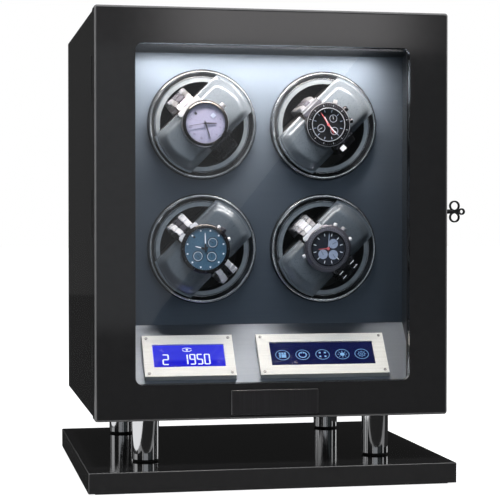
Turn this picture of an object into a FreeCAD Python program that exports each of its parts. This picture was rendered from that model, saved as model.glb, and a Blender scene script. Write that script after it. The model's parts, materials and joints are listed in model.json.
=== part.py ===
"""Four-rotor watch winder box: a lacquered cabinet on four chrome legs and a base plate.

Frame: X to the right, Y into the depth of the box (the door faces -Y), Z up. The origin is
the centre of the underside of the felt sheet that the base plate stands on. Millimetres.
"""
import FreeCAD, Part
import Sketcher
import math
import os
import re

doc = FreeCAD.newDocument("WatchWinder")
V = FreeCAD.Vector
ROTATE = FreeCAD.Rotation

# ---------------------------------------------------------------- driving dimensions
SIZES = dict(
    # base plate and legs
    plate_side_lap=6.4, plate_rear_lap=3.5, plate_h=17.0, plate_round=0.8, felt_h=1.5,
    felt_inset=6.0, leg_side_in=48.0, leg_front_in=35.5, leg_rear_in=36.3, leg_dia=23.3, leg_wall=1.6, leg_gap=42.0,
    glide_h=1.8, glide_dia=21.0, bolt_dia=6.0, bolt_head_dia=10.0, bolt_head_h=5.0, bolt_grip=12.0,
    counterbore=7.0, bolt_play=0.2,
    # cabinet boards
    body_w=298.8, body_h=336.5, body_d=255.0, board=18.0, body_front_y=-115.5, edge_round=1.0,
    rabbet=9.0, back_thick=6.0, panel_play=0.2, screw_dia=3.0, screw_head_dia=6.0,
    screw_head_h=1.8, screw_len=16.0,
    # door
    door_side_lap=0.6, door_end_lap=1.85, door_thick=19.0, door_gap=1.0, door_round=2.5, door_back_round=1.5,
    door_stile=33.6, top_rail=30.3, window_low=29.8, window_round=6.0, glass_thick=4.0,
    glass_setback=6.0, rebate=8.0, glass_play=0.3, retainer_thick=3.0,
    name_plate_w=74.0, name_plate_h=21.0, name_plate_thick=1.2, name_plate_gap=5.4,
    # hinges
    hinge_axis_in=0.6, hinge_pin_dia=1.5, hinge_knuckle_dia=3.0, hinge_leaf=1.0, hinge_leaf_w=13.0,
    hinge_len=40.0, hinge_spread=110.0, hinge_play=0.05, knuckle_gap=0.2, knuckle_room=0.4,
    # compartment
    liner_thick=6.4, fascia_setback=55.0, fascia_thick=3.0, sheet_play=0.2,
    ceiling_front_drop=4.8, ceiling_rear_drop=12.9, ceiling_thick=3.0,
    led_w=8.0, led_h=2.0, led_side_gap=7.0, led_setback=3.0,
    sill_rise=9.0, console_rise=46.7, console_thick=2.0,
    # console instruments, placed along the slope from the sill
    bezel_low=4.5, bezel_high=54.2, bezel_thick=4.5, bezel_margin_x=8.4,
    lcd_left=-106.5, lcd_w=77.2, touch_left=-8.5, touch_w=112.0, touch_margin_x=10.9,
    window_slope_low=16.1, lcd_view=26.6, touch_view=27.9, pane_drop=0.8,
    bezel_screw_dia=2.6, bezel_screw_inset=3.6, bezel_screw_h=0.5, bezel_screw_len=7.5,
    # rotors: radii about each rotor axis, heights measured forwards from the fascia
    rotor_x=53.2, rotor_rise=2.25, ring_gap_share=0.27333, fascia_hole_r=39.0,
    bezel_r=47.0, bezel_in_r=40.4, bezel_h=8.0, bezel_step=2.0, bezel_bead=1.6,
    cup_r=36.3, cup_wall=1.6, cup_floor=2.5, cup_depth=50.0, flange_r=39.9, flange_h=2.0,
    flange_front=3.5, hub_r=9.0, hub_h=9.0, shaft_r=4.0, shaft_len=16.0, shaft_play=0.05,
    snap_r=4.7, bush_r=7.0, bush_flange=2.2, bush_barrel=5.5, end_play=0.3,
    # gear train
    gear_teeth=84, pinion_teeth=22, pressure_angle=20.0, backlash=0.16,
    gear_face=6.0, gear_back=2.0, pinion_face=7.0, pinion_shaft_r=3.0, motor_r=18.5, gearbox_h=21.5,
    motor_can_r=14.0, motor_can_h=28.0, motor_boss_r=6.0, carrier_thick=4.0, carrier_side_gap=4.0,
    carrier_lift=51.5, carrier_drop=6.0, post_r=4.0, post_inset=10.0, wire_hole_r=8.0,
    wire_hole_rise=17.5, motor_shaft_in=14.0,
    # watch holders
    wing_r=43.0, wing_front=22.0, wing_gap=1.5, wing_w=43.0, wing_crown=60.0, wing_rear=-24.5,
    holder_play=0.3,
    # watches
    case_r=20.0, case_h=9.0, crystal_r=17.0, crystal_h=2.4, strap_w=18.0, strap_thick=3.5,
    strap_depth=31.0, strap_mid=-1.0, crown_r=3.0, crown_reach=4.0, watch_play=0.3,
    # lock and key
    lock_in=11.0, lock_rise=2.45, barrel_r=8.0, barrel_flange_r=10.0, barrel_flange_h=0.8, plug_r=5.0,
    plug_play=0.05, cam_thick=1.6, cam_w=7.0, cam_reach=11.0, cam_gap=0.6,
    key_thick=1.5, key_high=7.0, key_in=16.0, key_play=0.2, shank_r=1.9,
    bow_thick=2.4, bow_ring_r=4.6, bow_ring_spread=4.9, bow_ring_x=15.8, bow_wire=1.3, eye_r=2.9,
    eye_x=22.2, striker_skin=1.0, striker_thick=1.8, striker_plate=1.2, striker_h=5.0,
    striker_rise=5.5, striker_lip=1.9, striker_side_gap=0.6, striker_end_gap=0.9,
    striker_foot_in=8.0, striker_plate_w=17.0, striker_plate_h=26.0,
    # electrics
    socket_in=53.4, socket_rise=25.5, socket_r=5.5, socket_flange_r=7.5, socket_flange_h=1.5,
    socket_len=15.5, socket_bore_r=2.75, socket_pin_r=1.0, socket_bore_len=10.0,
    pcb_w=110.0, pcb_d=72.0, pcb_thick=1.6, pcb_front_y=50.0, pillar_r=3.0, pillar_h=6.0,
    pillar_inset=6.0,
)

# ---------------------------------------------------------------- places worked out from them
PLACES = dict(
    plate_top="felt_h + plate_h",
    plate_w="body_w + 2 * plate_side_lap",
    plate_d="2 * (body_front_y + body_d + plate_rear_lap)",
    leg_x="body_w / 2 - leg_side_in",
    leg_front_y="body_front_y + leg_front_in",
    leg_rear_y="body_front_y + body_d - leg_rear_in",
    door_w="body_w + 2 * door_side_lap",
    door_h="body_h + 2 * door_end_lap",
    window_w="door_w - 2 * door_stile",
    window_h="door_h - window_low - top_rail",
    hinge_axis_x="hinge_axis_in - body_w / 2",
    bay_w="2 * (inner_x - liner_thick)",
    led_len="bay_w - 2 * led_side_gap",
    console_z="sill_z + console_rise",
    rotor_pitch="2 * bezel_r + ring_gap_share * (ceiling_rear_z - console_z - 4 * bezel_r)",
    rotor_mid_z="(ceiling_rear_z + console_z) / 2 + rotor_rise",
    carrier_w="bay_w - 2 * carrier_side_gap",
    carrier_low="floor_z + carrier_lift",
    carrier_high="roof_z - carrier_drop",
    post_x="carrier_w / 2 - post_inset",
    post_low="carrier_low + post_inset",
    post_high="carrier_high - post_inset",
    wire_hole_z="floor_z + wire_hole_rise",
    lock_y="body_front_y + lock_in",
    lock_z="body_low + body_h / 2 + lock_rise",
    striker_x="bay_x + striker_skin + striker_side_gap",
    socket_x="body_w / 2 - socket_in",
    socket_z="floor_z + socket_rise",
    body_low="plate_top + leg_gap",
    body_top="body_low + body_h",
    body_rear_y="body_front_y + body_d",
    body_x="body_w / 2",
    inner_x="body_w / 2 - board",
    floor_z="body_low + board",
    roof_z="body_top - board",
    back_y="body_rear_y - back_thick",
    door_back_y="body_front_y - door_gap",
    door_front_y="body_front_y - door_gap - door_thick",
    door_low="body_low + (body_h - door_h) / 2",
    door_top="door_low + door_h",
    window_z="door_low + window_low",
    glass_front_y="door_front_y + glass_setback",
    glass_back_y="door_front_y + glass_setback + glass_thick",
    hinge_y="body_front_y - door_gap / 2",
    bay_x="bay_w / 2",
    fascia_y="body_front_y + fascia_setback",
    fascia_back_y="body_front_y + fascia_setback + fascia_thick",
    sill_z="floor_z + sill_rise",
    ceiling_front_z="roof_z - ceiling_front_drop",
    ceiling_rear_z="roof_z - ceiling_rear_drop",
    slope="atan2(console_rise; fascia_setback)",
    cup_floor_front="flange_front - cup_depth",
    cup_back="flange_front - cup_depth - cup_floor",
    hub_back="flange_front - cup_depth - cup_floor - hub_h",
    carrier_front="flange_front - cup_depth - cup_floor - hub_h - end_play - bush_flange",
    carrier_y="fascia_y - carrier_front",
    carrier_back_y="fascia_y - carrier_front + carrier_thick",
    key_face_x="body_x + barrel_flange_h",
    gear_front="flange_front - cup_depth - cup_floor + gear_back + gear_face",
)

sizes = doc.addObject("Spreadsheet::Sheet", "sizes")
places = doc.addObject("Spreadsheet::Sheet", "places")


def expression(text):
    """Turn 'body_w / 2 - board' into an expression on the two sheets' aliases."""
    def with_sheet(match):
        word = match.group(0)
        if word in SIZES:
            return "sizes." + word
        return "places." + word if word in PLACES else word
    return re.sub(r"[A-Za-z_]\w*", with_sheet, text)


for row, (name, number) in enumerate(SIZES.items(), start=1):
    sizes.set("A%d" % row, name)
    sizes.set("B%d" % row, repr(number))
    sizes.setAlias("B%d" % row, name)
for row, (name, formula) in enumerate(PLACES.items(), start=1):
    places.set("A%d" % row, name)
    places.set("B%d" % row, "=" + expression(formula))
    places.setAlias("B%d" % row, name)
doc.recompute()


def size(name):
    """The value of a driving dimension or of a place, as a plain number."""
    found = (sizes if name in SIZES else places).get(name)
    return float(getattr(found, "Value", found))


# ---------------------------------------------------------------- helpers
PARTS = {}


def bind(piece, **formulas):
    """Tie properties to the sheets: Placement_Base_x='-body_x' and so on."""
    for prop, formula in formulas.items():
        piece.setExpression(prop.replace("_", "."), expression(str(formula)))
    return piece


def node(name, piece):
    """Name a finished sub-part; its Label is its file's name."""
    piece.Label = name
    PARTS[name] = piece
    return piece


def box(name, x, y, z):
    """A block between two formulas on each axis."""
    block = doc.addObject("Part::Box", name)
    for side, base, (low, high) in (("Length", "x", x), ("Width", "y", y), ("Height", "z", z)):
        block.setExpression(side, expression("(%s) - (%s)" % (high, low)))
        block.setExpression("Placement.Base." + base, expression(str(low)))
    return block


AXES = {"X": ROTATE(V(0, 1, 0), 90), "Y": ROTATE(V(1, 0, 0), -90), "Z": ROTATE()}


def rod(name, axis, radius, start, end, across):
    """A cylinder along axis from start to end, at two formulas on the other axes."""
    piece = doc.addObject("Part::Cylinder", name)
    piece.Placement = FreeCAD.Placement(V(), AXES[axis])
    piece.setExpression("Radius", expression(str(radius)))
    piece.setExpression("Height", expression("(%s) - (%s)" % (end, start)))
    bases = dict(zip([a for a in "xyz" if a != axis.lower()], across))
    bases[axis.lower()] = start
    for base, formula in bases.items():
        piece.setExpression("Placement.Base." + base, expression(str(formula)))
    return piece


def fuse(name, pieces):
    joined = doc.addObject("Part::MultiFuse", name)
    joined.Shapes = pieces
    joined.Refine = True
    return joined


def cut(name, base, tools):
    """Base less one tool or several."""
    made = doc.addObject("Part::Cut", name)
    made.Base = base
    made.Tool = tools[0] if len(tools) == 1 else fuse(name + "_tools", tools)
    return made


def common(name, first, second):
    made = doc.addObject("Part::Common", name)
    made.Base = first
    made.Tool = second
    return made


def group(name, pieces):
    """Identical separate solids kept as one node."""
    made = doc.addObject("Part::Compound", name)
    made.Links = pieces
    return made


def rounded(name, base, radius, keep):
    """Part fillet on the edges whose middle point keep() accepts."""
    doc.recompute()
    made = doc.addObject("Part::Fillet", name)
    made.Base = base
    chosen = []
    for index, edge in enumerate(base.Shape.Edges, start=1):
        if keep(edge, edge.valueAt((edge.FirstParameter + edge.LastParameter) / 2)):
            chosen.append((index, size(radius), size(radius)))
    made.Edges = chosen
    return made


def is_near(value, name):
    return abs(value - size(name)) < 1e-4


def origin_plane(body, role):
    return next(f for f in body.Origin.OriginFeatures if f.Role == role)


def outline_sketch(body, name, role, corners):
    """A closed sketch whose corners are held by formulas for their two coordinates."""
    sketch = body.newObject("Sketcher::SketchObject", name)
    sketch.AttachmentSupport = [(origin_plane(body, role), "")]
    sketch.MapMode = "FlatFace"
    body_of = [V(number_of(a), number_of(b), 0) for a, b in corners]
    for index, point in enumerate(body_of):
        sketch.addGeometry(Part.LineSegment(point, body_of[(index + 1) % len(corners)]), False)
    for index in range(len(corners)):
        sketch.addConstraint(Sketcher.Constraint(
            "Coincident", index, 2, (index + 1) % len(corners), 1))
    for index, pair in enumerate(corners):
        for kind, formula in zip(("DistanceX", "DistanceY"), pair):
            held = sketch.addConstraint(Sketcher.Constraint(
                kind, -1, 1, index, 1, number_of(formula)))
            sketch.setExpression("Constraints[%d]" % held, expression(str(formula)))
    return sketch


def number_of(formula):
    """What a formula comes to, read back from a cell of its own."""
    places.set("D1", "=" + expression(str(formula)))
    places.recompute()
    found = places.get("D1")
    return float(getattr(found, "Value", found))


def turned(name, corners, role="XZ_Plane"):
    """A body turned about its Z axis from (radius, height) corners."""
    body = doc.addObject("PartDesign::Body", name)
    sketch = outline_sketch(body, name + "_section", role, corners)
    spin = body.newObject("PartDesign::Revolution", name + "_turning")
    spin.Profile = sketch
    spin.ReferenceAxis = (sketch, ["V_Axis"])
    spin.Angle = 360.0
    body.Tip = spin
    return body


def padded(name, role, corners, depth, reverse=False):
    """A body padded from an outline by a formula's depth."""
    body = doc.addObject("PartDesign::Body", name)
    sketch = outline_sketch(body, name + "_outline", role, corners)
    pad = body.newObject("PartDesign::Pad", name + "_pad")
    pad.Profile = sketch
    pad.setExpression("Length", expression(depth))
    pad.Reversed = reverse
    body.Tip = pad
    return body


def placed(name, blank, x, z, turn=0):
    """A copy of a blank built about the rotor axis, facing the door at (x, z)."""
    made = doc.addObject("Part::Compound", name + "_placed")
    made.Links = [blank]
    made.Placement = FreeCAD.Placement(V(), ROTATE(V(1, 0, 0), 90) * ROTATE(V(0, 0, 1), turn))
    return bind(made, Placement_Base_x=x, Placement_Base_y="fascia_y", Placement_Base_z=z)


def slope_place(piece, x, along, lift):
    """Stand a piece on the console's slope: x, distance up from the sill, height above it."""
    piece.Placement = FreeCAD.Placement(V(), ROTATE(V(1, 0, 0), 1))
    return bind(
        piece, Placement_Rotation_Angle="slope", Placement_Base_x=x,
        Placement_Base_y="body_front_y + (%s) * cos(slope) - (%s) * sin(slope)" % (along, lift),
        Placement_Base_z="sill_z + (%s) * sin(slope) + (%s) * cos(slope)" % (along, lift))


def slope_box(name, x, along, lift):
    block = doc.addObject("Part::Box", name)
    for side, (low, high) in (("Length", x), ("Width", along), ("Height", lift)):
        block.setExpression(side, expression("(%s) - (%s)" % (high, low)))
    return slope_place(block, x[0], along[0], lift[0])


def slope_rod(name, radius, x, along, lift):
    piece = doc.addObject("Part::Cylinder", name)
    bind(piece, Radius=radius, Height="(%s) - (%s)" % (lift[1], lift[0]))
    return slope_place(piece, x, along, lift[0])


# ---------------------------------------------------------------- base plate and legs
LEGS = {
    "front_left": ("-leg_x", "leg_front_y"), "front_right": ("leg_x", "leg_front_y"),
    "rear_left": ("-leg_x", "leg_rear_y"), "rear_right": ("leg_x", "leg_rear_y"),
}


def make_base():
    half = ("plate_w / 2", "plate_d / 2")
    node("base_felt", box(
        "felt_sheet", *[("felt_inset - " + h, h + " - felt_inset") for h in half],
        ("0", "felt_h")))
    slab = box("plate_slab", *[("-" + h, h) for h in half], ("felt_h", "plate_top"))
    eased = rounded("plate_eased", slab, "plate_round", lambda e, m: not is_near(m.z, "felt_h"))
    holes = []
    for corner, spot in LEGS.items():
        holes.append(rod("plate_hole_" + corner, "Z", "bolt_dia / 2 + bolt_play",
                         "felt_h", "plate_top + 1", spot))
        holes.append(rod("counterbore_" + corner, "Z", "bolt_head_dia / 2 + 1",
                         "felt_h - 1", "felt_h + counterbore", spot))
    node("base_plate", cut("plate_drilled", eased, holes))
    glides, bolts = [], []
    for corner, spot in LEGS.items():
        ends = ("plate_top + glide_h", "body_low")
        tube = rod("leg_outside_" + corner, "Z", "leg_dia / 2", *ends, spot)
        bore = rod("leg_bore_" + corner, "Z", "leg_dia / 2 - leg_wall", *ends, spot)
        node("leg_" + corner, cut("leg_tube_" + corner, tube, [bore]))
        disc = rod("glide_disc_" + corner, "Z", "glide_dia / 2", "plate_top",
                   "plate_top + glide_h", spot)
        eye = rod("glide_eye_" + corner, "Z", "bolt_dia / 2 + bolt_play", "plate_top - 1",
                  "plate_top + glide_h + 1", spot)
        glides.append(cut("glide_" + corner, disc, [eye]))
        head = rod("bolt_head_" + corner, "Z", "bolt_head_dia / 2",
                   "felt_h + counterbore - bolt_head_h", "felt_h + counterbore", spot)
        shank = rod("bolt_shank_" + corner, "Z", "bolt_dia / 2", "felt_h + counterbore",
                    "body_low + bolt_grip", spot)
        bolts.append(fuse("bolt_" + corner, [head, shank]))
    node("leg_glides", group("glides", glides))
    node("leg_bolts", group("bolts", bolts))


# ---------------------------------------------------------------- cabinet boards
SCREW_END = 25.0  # from the floor or the roof to the nearest side screw
SCREWS = [("%s(inner_x + rabbet / 2)" % side, height) for side in ("-", "")
          for height in ("floor_z + %s" % SCREW_END, "(floor_z + roof_z) / 2",
                         "roof_z - %s" % SCREW_END)]
SCREWS += [("0", "floor_z - rabbet / 2"), ("0", "roof_z + rabbet / 2")]
HINGES = {"lower": -1, "middle": 0, "upper": 1}


def pilots(name, wanted):
    """Pilot holes for the back screws whose index is wanted."""
    return [rod("%s_pilot_%d" % (name, i), "Y", "screw_dia / 2",
                "body_rear_y - screw_head_h - screw_len", "back_y + 1", SCREWS[i]) for i in wanted]


def hinge_z(step):
    return "(door_low + door_top) / 2 + (%d) * hinge_spread" % step


def leaf_pockets(name, flat_y, deep_y):
    """Mortises for the three hinge leaves, with room round the knuckles."""
    pockets = []
    for which, step in HINGES.items():
        tall = ("%s - hinge_len / 2 - knuckle_gap" % hinge_z(step),
                "%s + hinge_len / 2 + knuckle_gap" % hinge_z(step))
        pockets.append(box("%s_leaf_pocket_%s" % (name, which),
                           ("-door_w / 2 - 1", "hinge_axis_x + hinge_leaf_w + knuckle_gap"),
                           flat_y, tall))
        pockets.append(box("%s_knuckle_room_%s" % (name, which),
                           ("-door_w / 2 - 1",
                            "hinge_axis_x + hinge_knuckle_dia / 2 + knuckle_room"), deep_y, tall))
    return pockets


def make_boards():
    depth = ("body_front_y", "body_rear_y")
    rear = ("back_y", "body_rear_y + 1")
    outside = size("body_x")
    for side, sign, wanted in (("left", "-", (0, 1, 2)), ("right", "", (3, 4, 5))):
        x = ("-body_x", "-inner_x") if sign else ("inner_x", "body_x")
        slab = box("side_slab_" + side, x, depth, ("body_low", "body_top"))
        eased = rounded("side_eased_" + side, slab, "edge_round",
                        lambda e, m: abs(abs(m.x) - outside) < 1e-4)
        x = ("-inner_x - rabbet", "1 - inner_x") if sign else ("inner_x - 1", "inner_x + rabbet")
        tools = [box("side_rabbet_" + side, x, rear, ("floor_z - rabbet", "roof_z + rabbet"))]
        tools += pilots("side_" + side, wanted)
        if side == "left":
            tools += leaf_pockets(
                "cabinet", ("body_front_y - 1", "body_front_y + hinge_leaf"),
                ("body_front_y - 1", "hinge_y + hinge_knuckle_dia / 2 + knuckle_room"))
        else:
            tools.append(rod("barrel_hole", "X", "barrel_r", "inner_x - 1", "body_x + 1",
                             ("lock_y", "lock_z")))
        node("side_board_" + side, cut("side_cut_" + side, eased, tools))
    for name, low, high, wanted in (("bottom", "body_low", "floor_z", (6,)),
                                    ("top", "roof_z", "body_top", (7,))):
        slab = box(name + "_slab", ("-inner_x", "inner_x"), depth, (low, high))
        outer = size(low if name == "bottom" else high)
        eased = rounded(name + "_eased", slab, "edge_round",
                        lambda e, m: abs(m.z - outer) < 1e-4 and abs(m.x) < 1e-4)
        z = ("floor_z - rabbet", "floor_z + 1") if name == "bottom" else (
            "roof_z - 1", "roof_z + rabbet")
        tools = [box(name + "_rabbet", ("-inner_x - 1", "inner_x + 1"), rear, z)]
        tools += pilots(name, wanted)
        if name == "bottom":
            tools += [rod("insert_" + corner, "Z", "bolt_dia / 2", "body_low - 1",
                          "body_low + bolt_grip", spot) for corner, spot in LEGS.items()]
        node(name + "_board", cut(name + "_cut", eased, tools))


def make_back():
    panel = box("back_panel",
                ("panel_play - inner_x - rabbet", "inner_x + rabbet - panel_play"),
                ("back_y", "body_rear_y"),
                ("floor_z - rabbet + panel_play", "roof_z + rabbet - panel_play"))
    holes = [rod("socket_hole", "Y", "socket_r", "back_y - 1", "body_rear_y + 1",
                 ("socket_x", "socket_z"))]
    screws = []
    for i, spot in enumerate(SCREWS):
        head = ("body_rear_y - screw_head_h", "body_rear_y")
        shank = ("body_rear_y - screw_head_h - screw_len", head[0])
        holes.append(rod("back_hole_%d" % i, "Y", "screw_dia / 2", "back_y - 1", head[1], spot))
        holes.append(rod("back_sink_%d" % i, "Y", "screw_head_dia / 2", *head, spot))
        screws.append(fuse("back_screw_%d" % i, [
            rod("screw_head_%d" % i, "Y", "screw_head_dia / 2", *head, spot),
            rod("screw_shank_%d" % i, "Y", "screw_dia / 2", *shank, spot)]))
    node("back_board", cut("back_drilled", panel, holes))
    node("back_screws", group("screws", screws))


# ---------------------------------------------------------------- compartment lining
ROTORS = {
    "upper_left": ("-rotor_x", "rotor_mid_z + rotor_pitch / 2"),
    "upper_right": ("rotor_x", "rotor_mid_z + rotor_pitch / 2"),
    "lower_left": ("-rotor_x", "rotor_mid_z - rotor_pitch / 2"),
    "lower_right": ("rotor_x", "rotor_mid_z - rotor_pitch / 2"),
}
LINER_TAIL = 8.0  # how far the side liners run on behind the fascia


def make_lining():
    span = (("body_front_y + sheet_play", "fascia_back_y + %s" % LINER_TAIL),
            ("floor_z", "roof_z"))
    node("side_liner_left", box("liner_slab_left", ("-inner_x", "-bay_x"), *span))
    slab = box("liner_slab_right", ("bay_x", "inner_x"), *span)
    pocket = box("cam_pocket", ("bay_x + striker_skin", "inner_x + 1"),
                 ("body_front_y - 1", "lock_y + cam_reach + 1"),
                 ("lock_z - cam_reach - 1", "lock_z + cam_reach + 4"))
    node("side_liner_right", cut("liner_pocketed", slab, [pocket]))
    front = "body_front_y + sheet_play"
    fall = "(ceiling_rear_drop - ceiling_front_drop) / (fascia_setback - sheet_play)"
    ceiling = padded("ceiling", "YZ_Plane", [
        (front, "ceiling_front_z"), ("fascia_y", "ceiling_rear_z"),
        ("fascia_y", "ceiling_rear_z + ceiling_thick"),
        (front, "ceiling_front_z + ceiling_thick")], "bay_w - 2 * sheet_play")
    node("ceiling_panel", bind(ceiling, Placement_Base_x="sheet_play - bay_x"))
    near = "ceiling_front_z - led_setback * " + fall
    far = "ceiling_front_z - (led_setback + led_w) * " + fall
    strip = padded("strip", "YZ_Plane", [
        (front + " + led_setback", near), (front + " + led_setback", near + " - led_h"),
        (front + " + led_setback + led_w", far + " - led_h"),
        (front + " + led_setback + led_w", far)], "led_len")
    node("led_strip", bind(strip, Placement_Base_x="-led_len / 2"))
    sheet = box("fascia_sheet", ("sheet_play - bay_x", "bay_x - sheet_play"),
                ("fascia_y", "fascia_back_y"), ("floor_z", "roof_z"))
    holes = [rod("rotor_hole_" + which, "Y", "fascia_hole_r", "fascia_y - 1",
                 "fascia_back_y + 1", spot) for which, spot in ROTORS.items()]
    holes.append(rod("wire_hole", "Y", "wire_hole_r", "fascia_y - 1", "fascia_back_y + 1",
                     ("0", "wire_hole_z")))
    node("fascia_panel", cut("fascia_cut", sheet, holes))


# ---------------------------------------------------------------- console
PANES = {
    "lcd": ("lcd_left", "lcd_w", "bezel_margin_x", "lcd_view"),
    "touch": ("touch_left", "touch_w", "touch_margin_x", "touch_view"),
}
MODULE_RIM = 3.0  # a module's body is this much wider than its window
MODULE_H = 6.0


def make_console():
    under = "console_thick / cos(slope)"
    sheet = padded("console", "YZ_Plane", [
        ("body_front_y", "floor_z"), ("body_front_y + console_thick", "floor_z"),
        ("body_front_y + console_thick", "sill_z + console_thick * tan(slope) - " + under),
        ("fascia_y", "sill_z + console_rise - " + under), ("fascia_y", "sill_z + console_rise"),
        ("body_front_y", "sill_z")], "bay_w - 2 * sheet_play")
    bind(sheet, Placement_Base_x="sheet_play - bay_x")
    windows, all_screws = [], []
    for name, (left, wide, margin, view) in PANES.items():
        x = ("%s + %s" % (left, margin), "%s + %s - %s" % (left, wide, margin))
        along = ("window_slope_low", "window_slope_low + " + view)
        loose_x = (x[0] + " - glass_play", x[1] + " + glass_play")
        loose_along = (along[0] + " - glass_play", along[1] + " + glass_play")
        plate = slope_box(name + "_plate", (left, "%s + %s" % (left, wide)),
                          ("bezel_low", "bezel_high"), ("0", "bezel_thick"))
        holes = [slope_box(name + "_window", loose_x, loose_along, ("-1", "bezel_thick + 1"))]
        windows.append(slope_box(name + "_opening", loose_x, loose_along, ("-console_thick - 1", "1")))
        for index in range(4):
            edge_x = (left + " + bezel_screw_inset", "%s + %s - bezel_screw_inset" % (left, wide))
            edge_s = ("bezel_low + bezel_screw_inset", "bezel_high - bezel_screw_inset")
            spot = (edge_x[index % 2], edge_s[index // 2])
            label = "%s_screw_%d" % (name, index)
            foot = "bezel_thick - bezel_screw_len"
            holes.append(slope_rod(label + "_hole", "bezel_screw_dia / 4", *spot,
                                   (foot, "bezel_thick + 1")))
            windows.append(slope_rod(label + "_thread", "bezel_screw_dia / 4", *spot,
                                     (foot, "1")))
            all_screws.append(fuse(label, [
                slope_rod(label + "_head", "bezel_screw_dia / 2", *spot,
                          ("bezel_thick", "bezel_thick + bezel_screw_h")),
                slope_rod(label + "_shank", "bezel_screw_dia / 4", *spot,
                          (foot, "bezel_thick"))]))
        node(name + "_bezel", cut(name + "_bezel_cut", plate, holes))
        wide_x = ("%s - %s" % (x[0], MODULE_RIM), "%s + %s" % (x[1], MODULE_RIM))
        wide_along = ("%s - %s" % (along[0], MODULE_RIM), "%s + %s" % (along[1], MODULE_RIM))
        pane = slope_box(name + "_pane", x, along, ("-console_thick", "bezel_thick - pane_drop"))
        case = slope_box(name + "_case", wide_x, wide_along,
                         ("-console_thick - %s" % MODULE_H, "-console_thick"))
        node("lcd_module" if name == "lcd" else "touch_panel", fuse(name + "_unit", [pane, case]))
    node("console_panel", cut("console_cut", sheet, windows))
    node("bezel_screws", group("small_screws", all_screws))


# ---------------------------------------------------------------- rotors and their drive
def gear_teeth(name, teeth, inner, low, high, phase):
    """An involute toothed ring about Z; phase turns it, in tooth pitches."""
    centres = size("rotor_pitch") / 2
    module = 2 * centres / (size("gear_teeth") + size("pinion_teeth"))
    pitch_r = module * teeth / 2
    pressure = math.radians(size("pressure_angle"))
    base_r = pitch_r * math.cos(pressure)
    tip_r, root_r = pitch_r + module, pitch_r - 1.25 * module
    half_tooth = math.pi / 2 / teeth - size("backlash") / 4 / pitch_r

    def flank_angle(radius):
        """How far the flank stands from the tooth's middle line at this radius."""
        if radius <= base_r:
            radius = base_r
        roll = math.acos(base_r / radius)
        at_pitch = math.tan(pressure) - pressure
        return half_tooth + at_pitch - (math.tan(roll) - roll)

    start = max(root_r, base_r)
    radii = [root_r] + [start + (tip_r - start) * i / 3 for i in range(4)]
    points = []
    for tooth in range(teeth):
        middle = 2 * math.pi * (tooth + phase) / teeth
        for side in (-1, 1):
            for radius in (radii if side < 0 else reversed(radii)):
                angle = middle + side * flank_angle(radius)
                points.append(V(radius * math.cos(angle), radius * math.sin(angle), low))
    outline = Part.Face(Part.makePolygon(points + points[:1]))
    ring = outline.extrude(V(0, 0, high - low))
    if inner:
        ring = ring.cut(Part.makeCylinder(inner, high - low, V(0, 0, low)))
    made = doc.addObject("Part::Feature", name)
    made.Shape = ring
    return made


def make_cups():
    """The moulded cup with its front flange, rear gear, hub and snap-in shaft."""
    bead = "hub_back - 2 * end_play - bush_flange - bush_barrel"
    shell = turned("cup_shell", [
        ("0", "cup_floor_front"), ("cup_r", "cup_floor_front"), ("cup_r", "flange_front"),
        ("flange_r", "flange_front"), ("flange_r", "flange_front - flange_h"),
        ("cup_r + cup_wall", "flange_front - flange_h"), ("cup_r + cup_wall", "cup_back"),
        ("hub_r", "cup_back"), ("hub_r", "hub_back"), ("shaft_r", "hub_back"),
        ("shaft_r", bead), ("snap_r", bead + " - (snap_r - shaft_r)"),
        ("snap_r", bead + " - 2 * (snap_r - shaft_r)"),
        ("shaft_r", bead + " - 4 * (snap_r - shaft_r)"),
        ("shaft_r", "hub_back - shaft_len"), ("0", "hub_back - shaft_len")])
    teeth = int(size("gear_teeth"))
    gear_low = size("gear_front") - size("gear_face")
    overlap = size("cup_wall") / 2
    gear = gear_teeth("cup_gear", teeth, size("cup_r") + overlap, gear_low, size("gear_front"),
                      0.5 - (teeth / 4) % 1)
    blank = fuse("cup_blank", [shell, gear])
    for which, spot in ROTORS.items():
        node("rotor_cup_" + which, placed("cup_" + which, blank, *spot))


def make_bezel_rings():
    ring = turned("ring_blank", [
        ("bezel_in_r", "0"), ("bezel_r", "0"), ("bezel_r", "bezel_h - 2 * bezel_bead"),
        ("bezel_r - bezel_bead / 3", "bezel_h - bezel_bead / 2"),
        ("bezel_r - bezel_bead", "bezel_h"), ("bezel_r - 2 * bezel_bead", "bezel_h"),
        ("bezel_r - 2.5 * bezel_bead", "bezel_h - bezel_bead / 2"),
        ("bezel_in_r", "bezel_step")])
    for which, spot in ROTORS.items():
        node("bezel_ring_" + which, placed("ring_" + which, ring, *spot))


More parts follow.
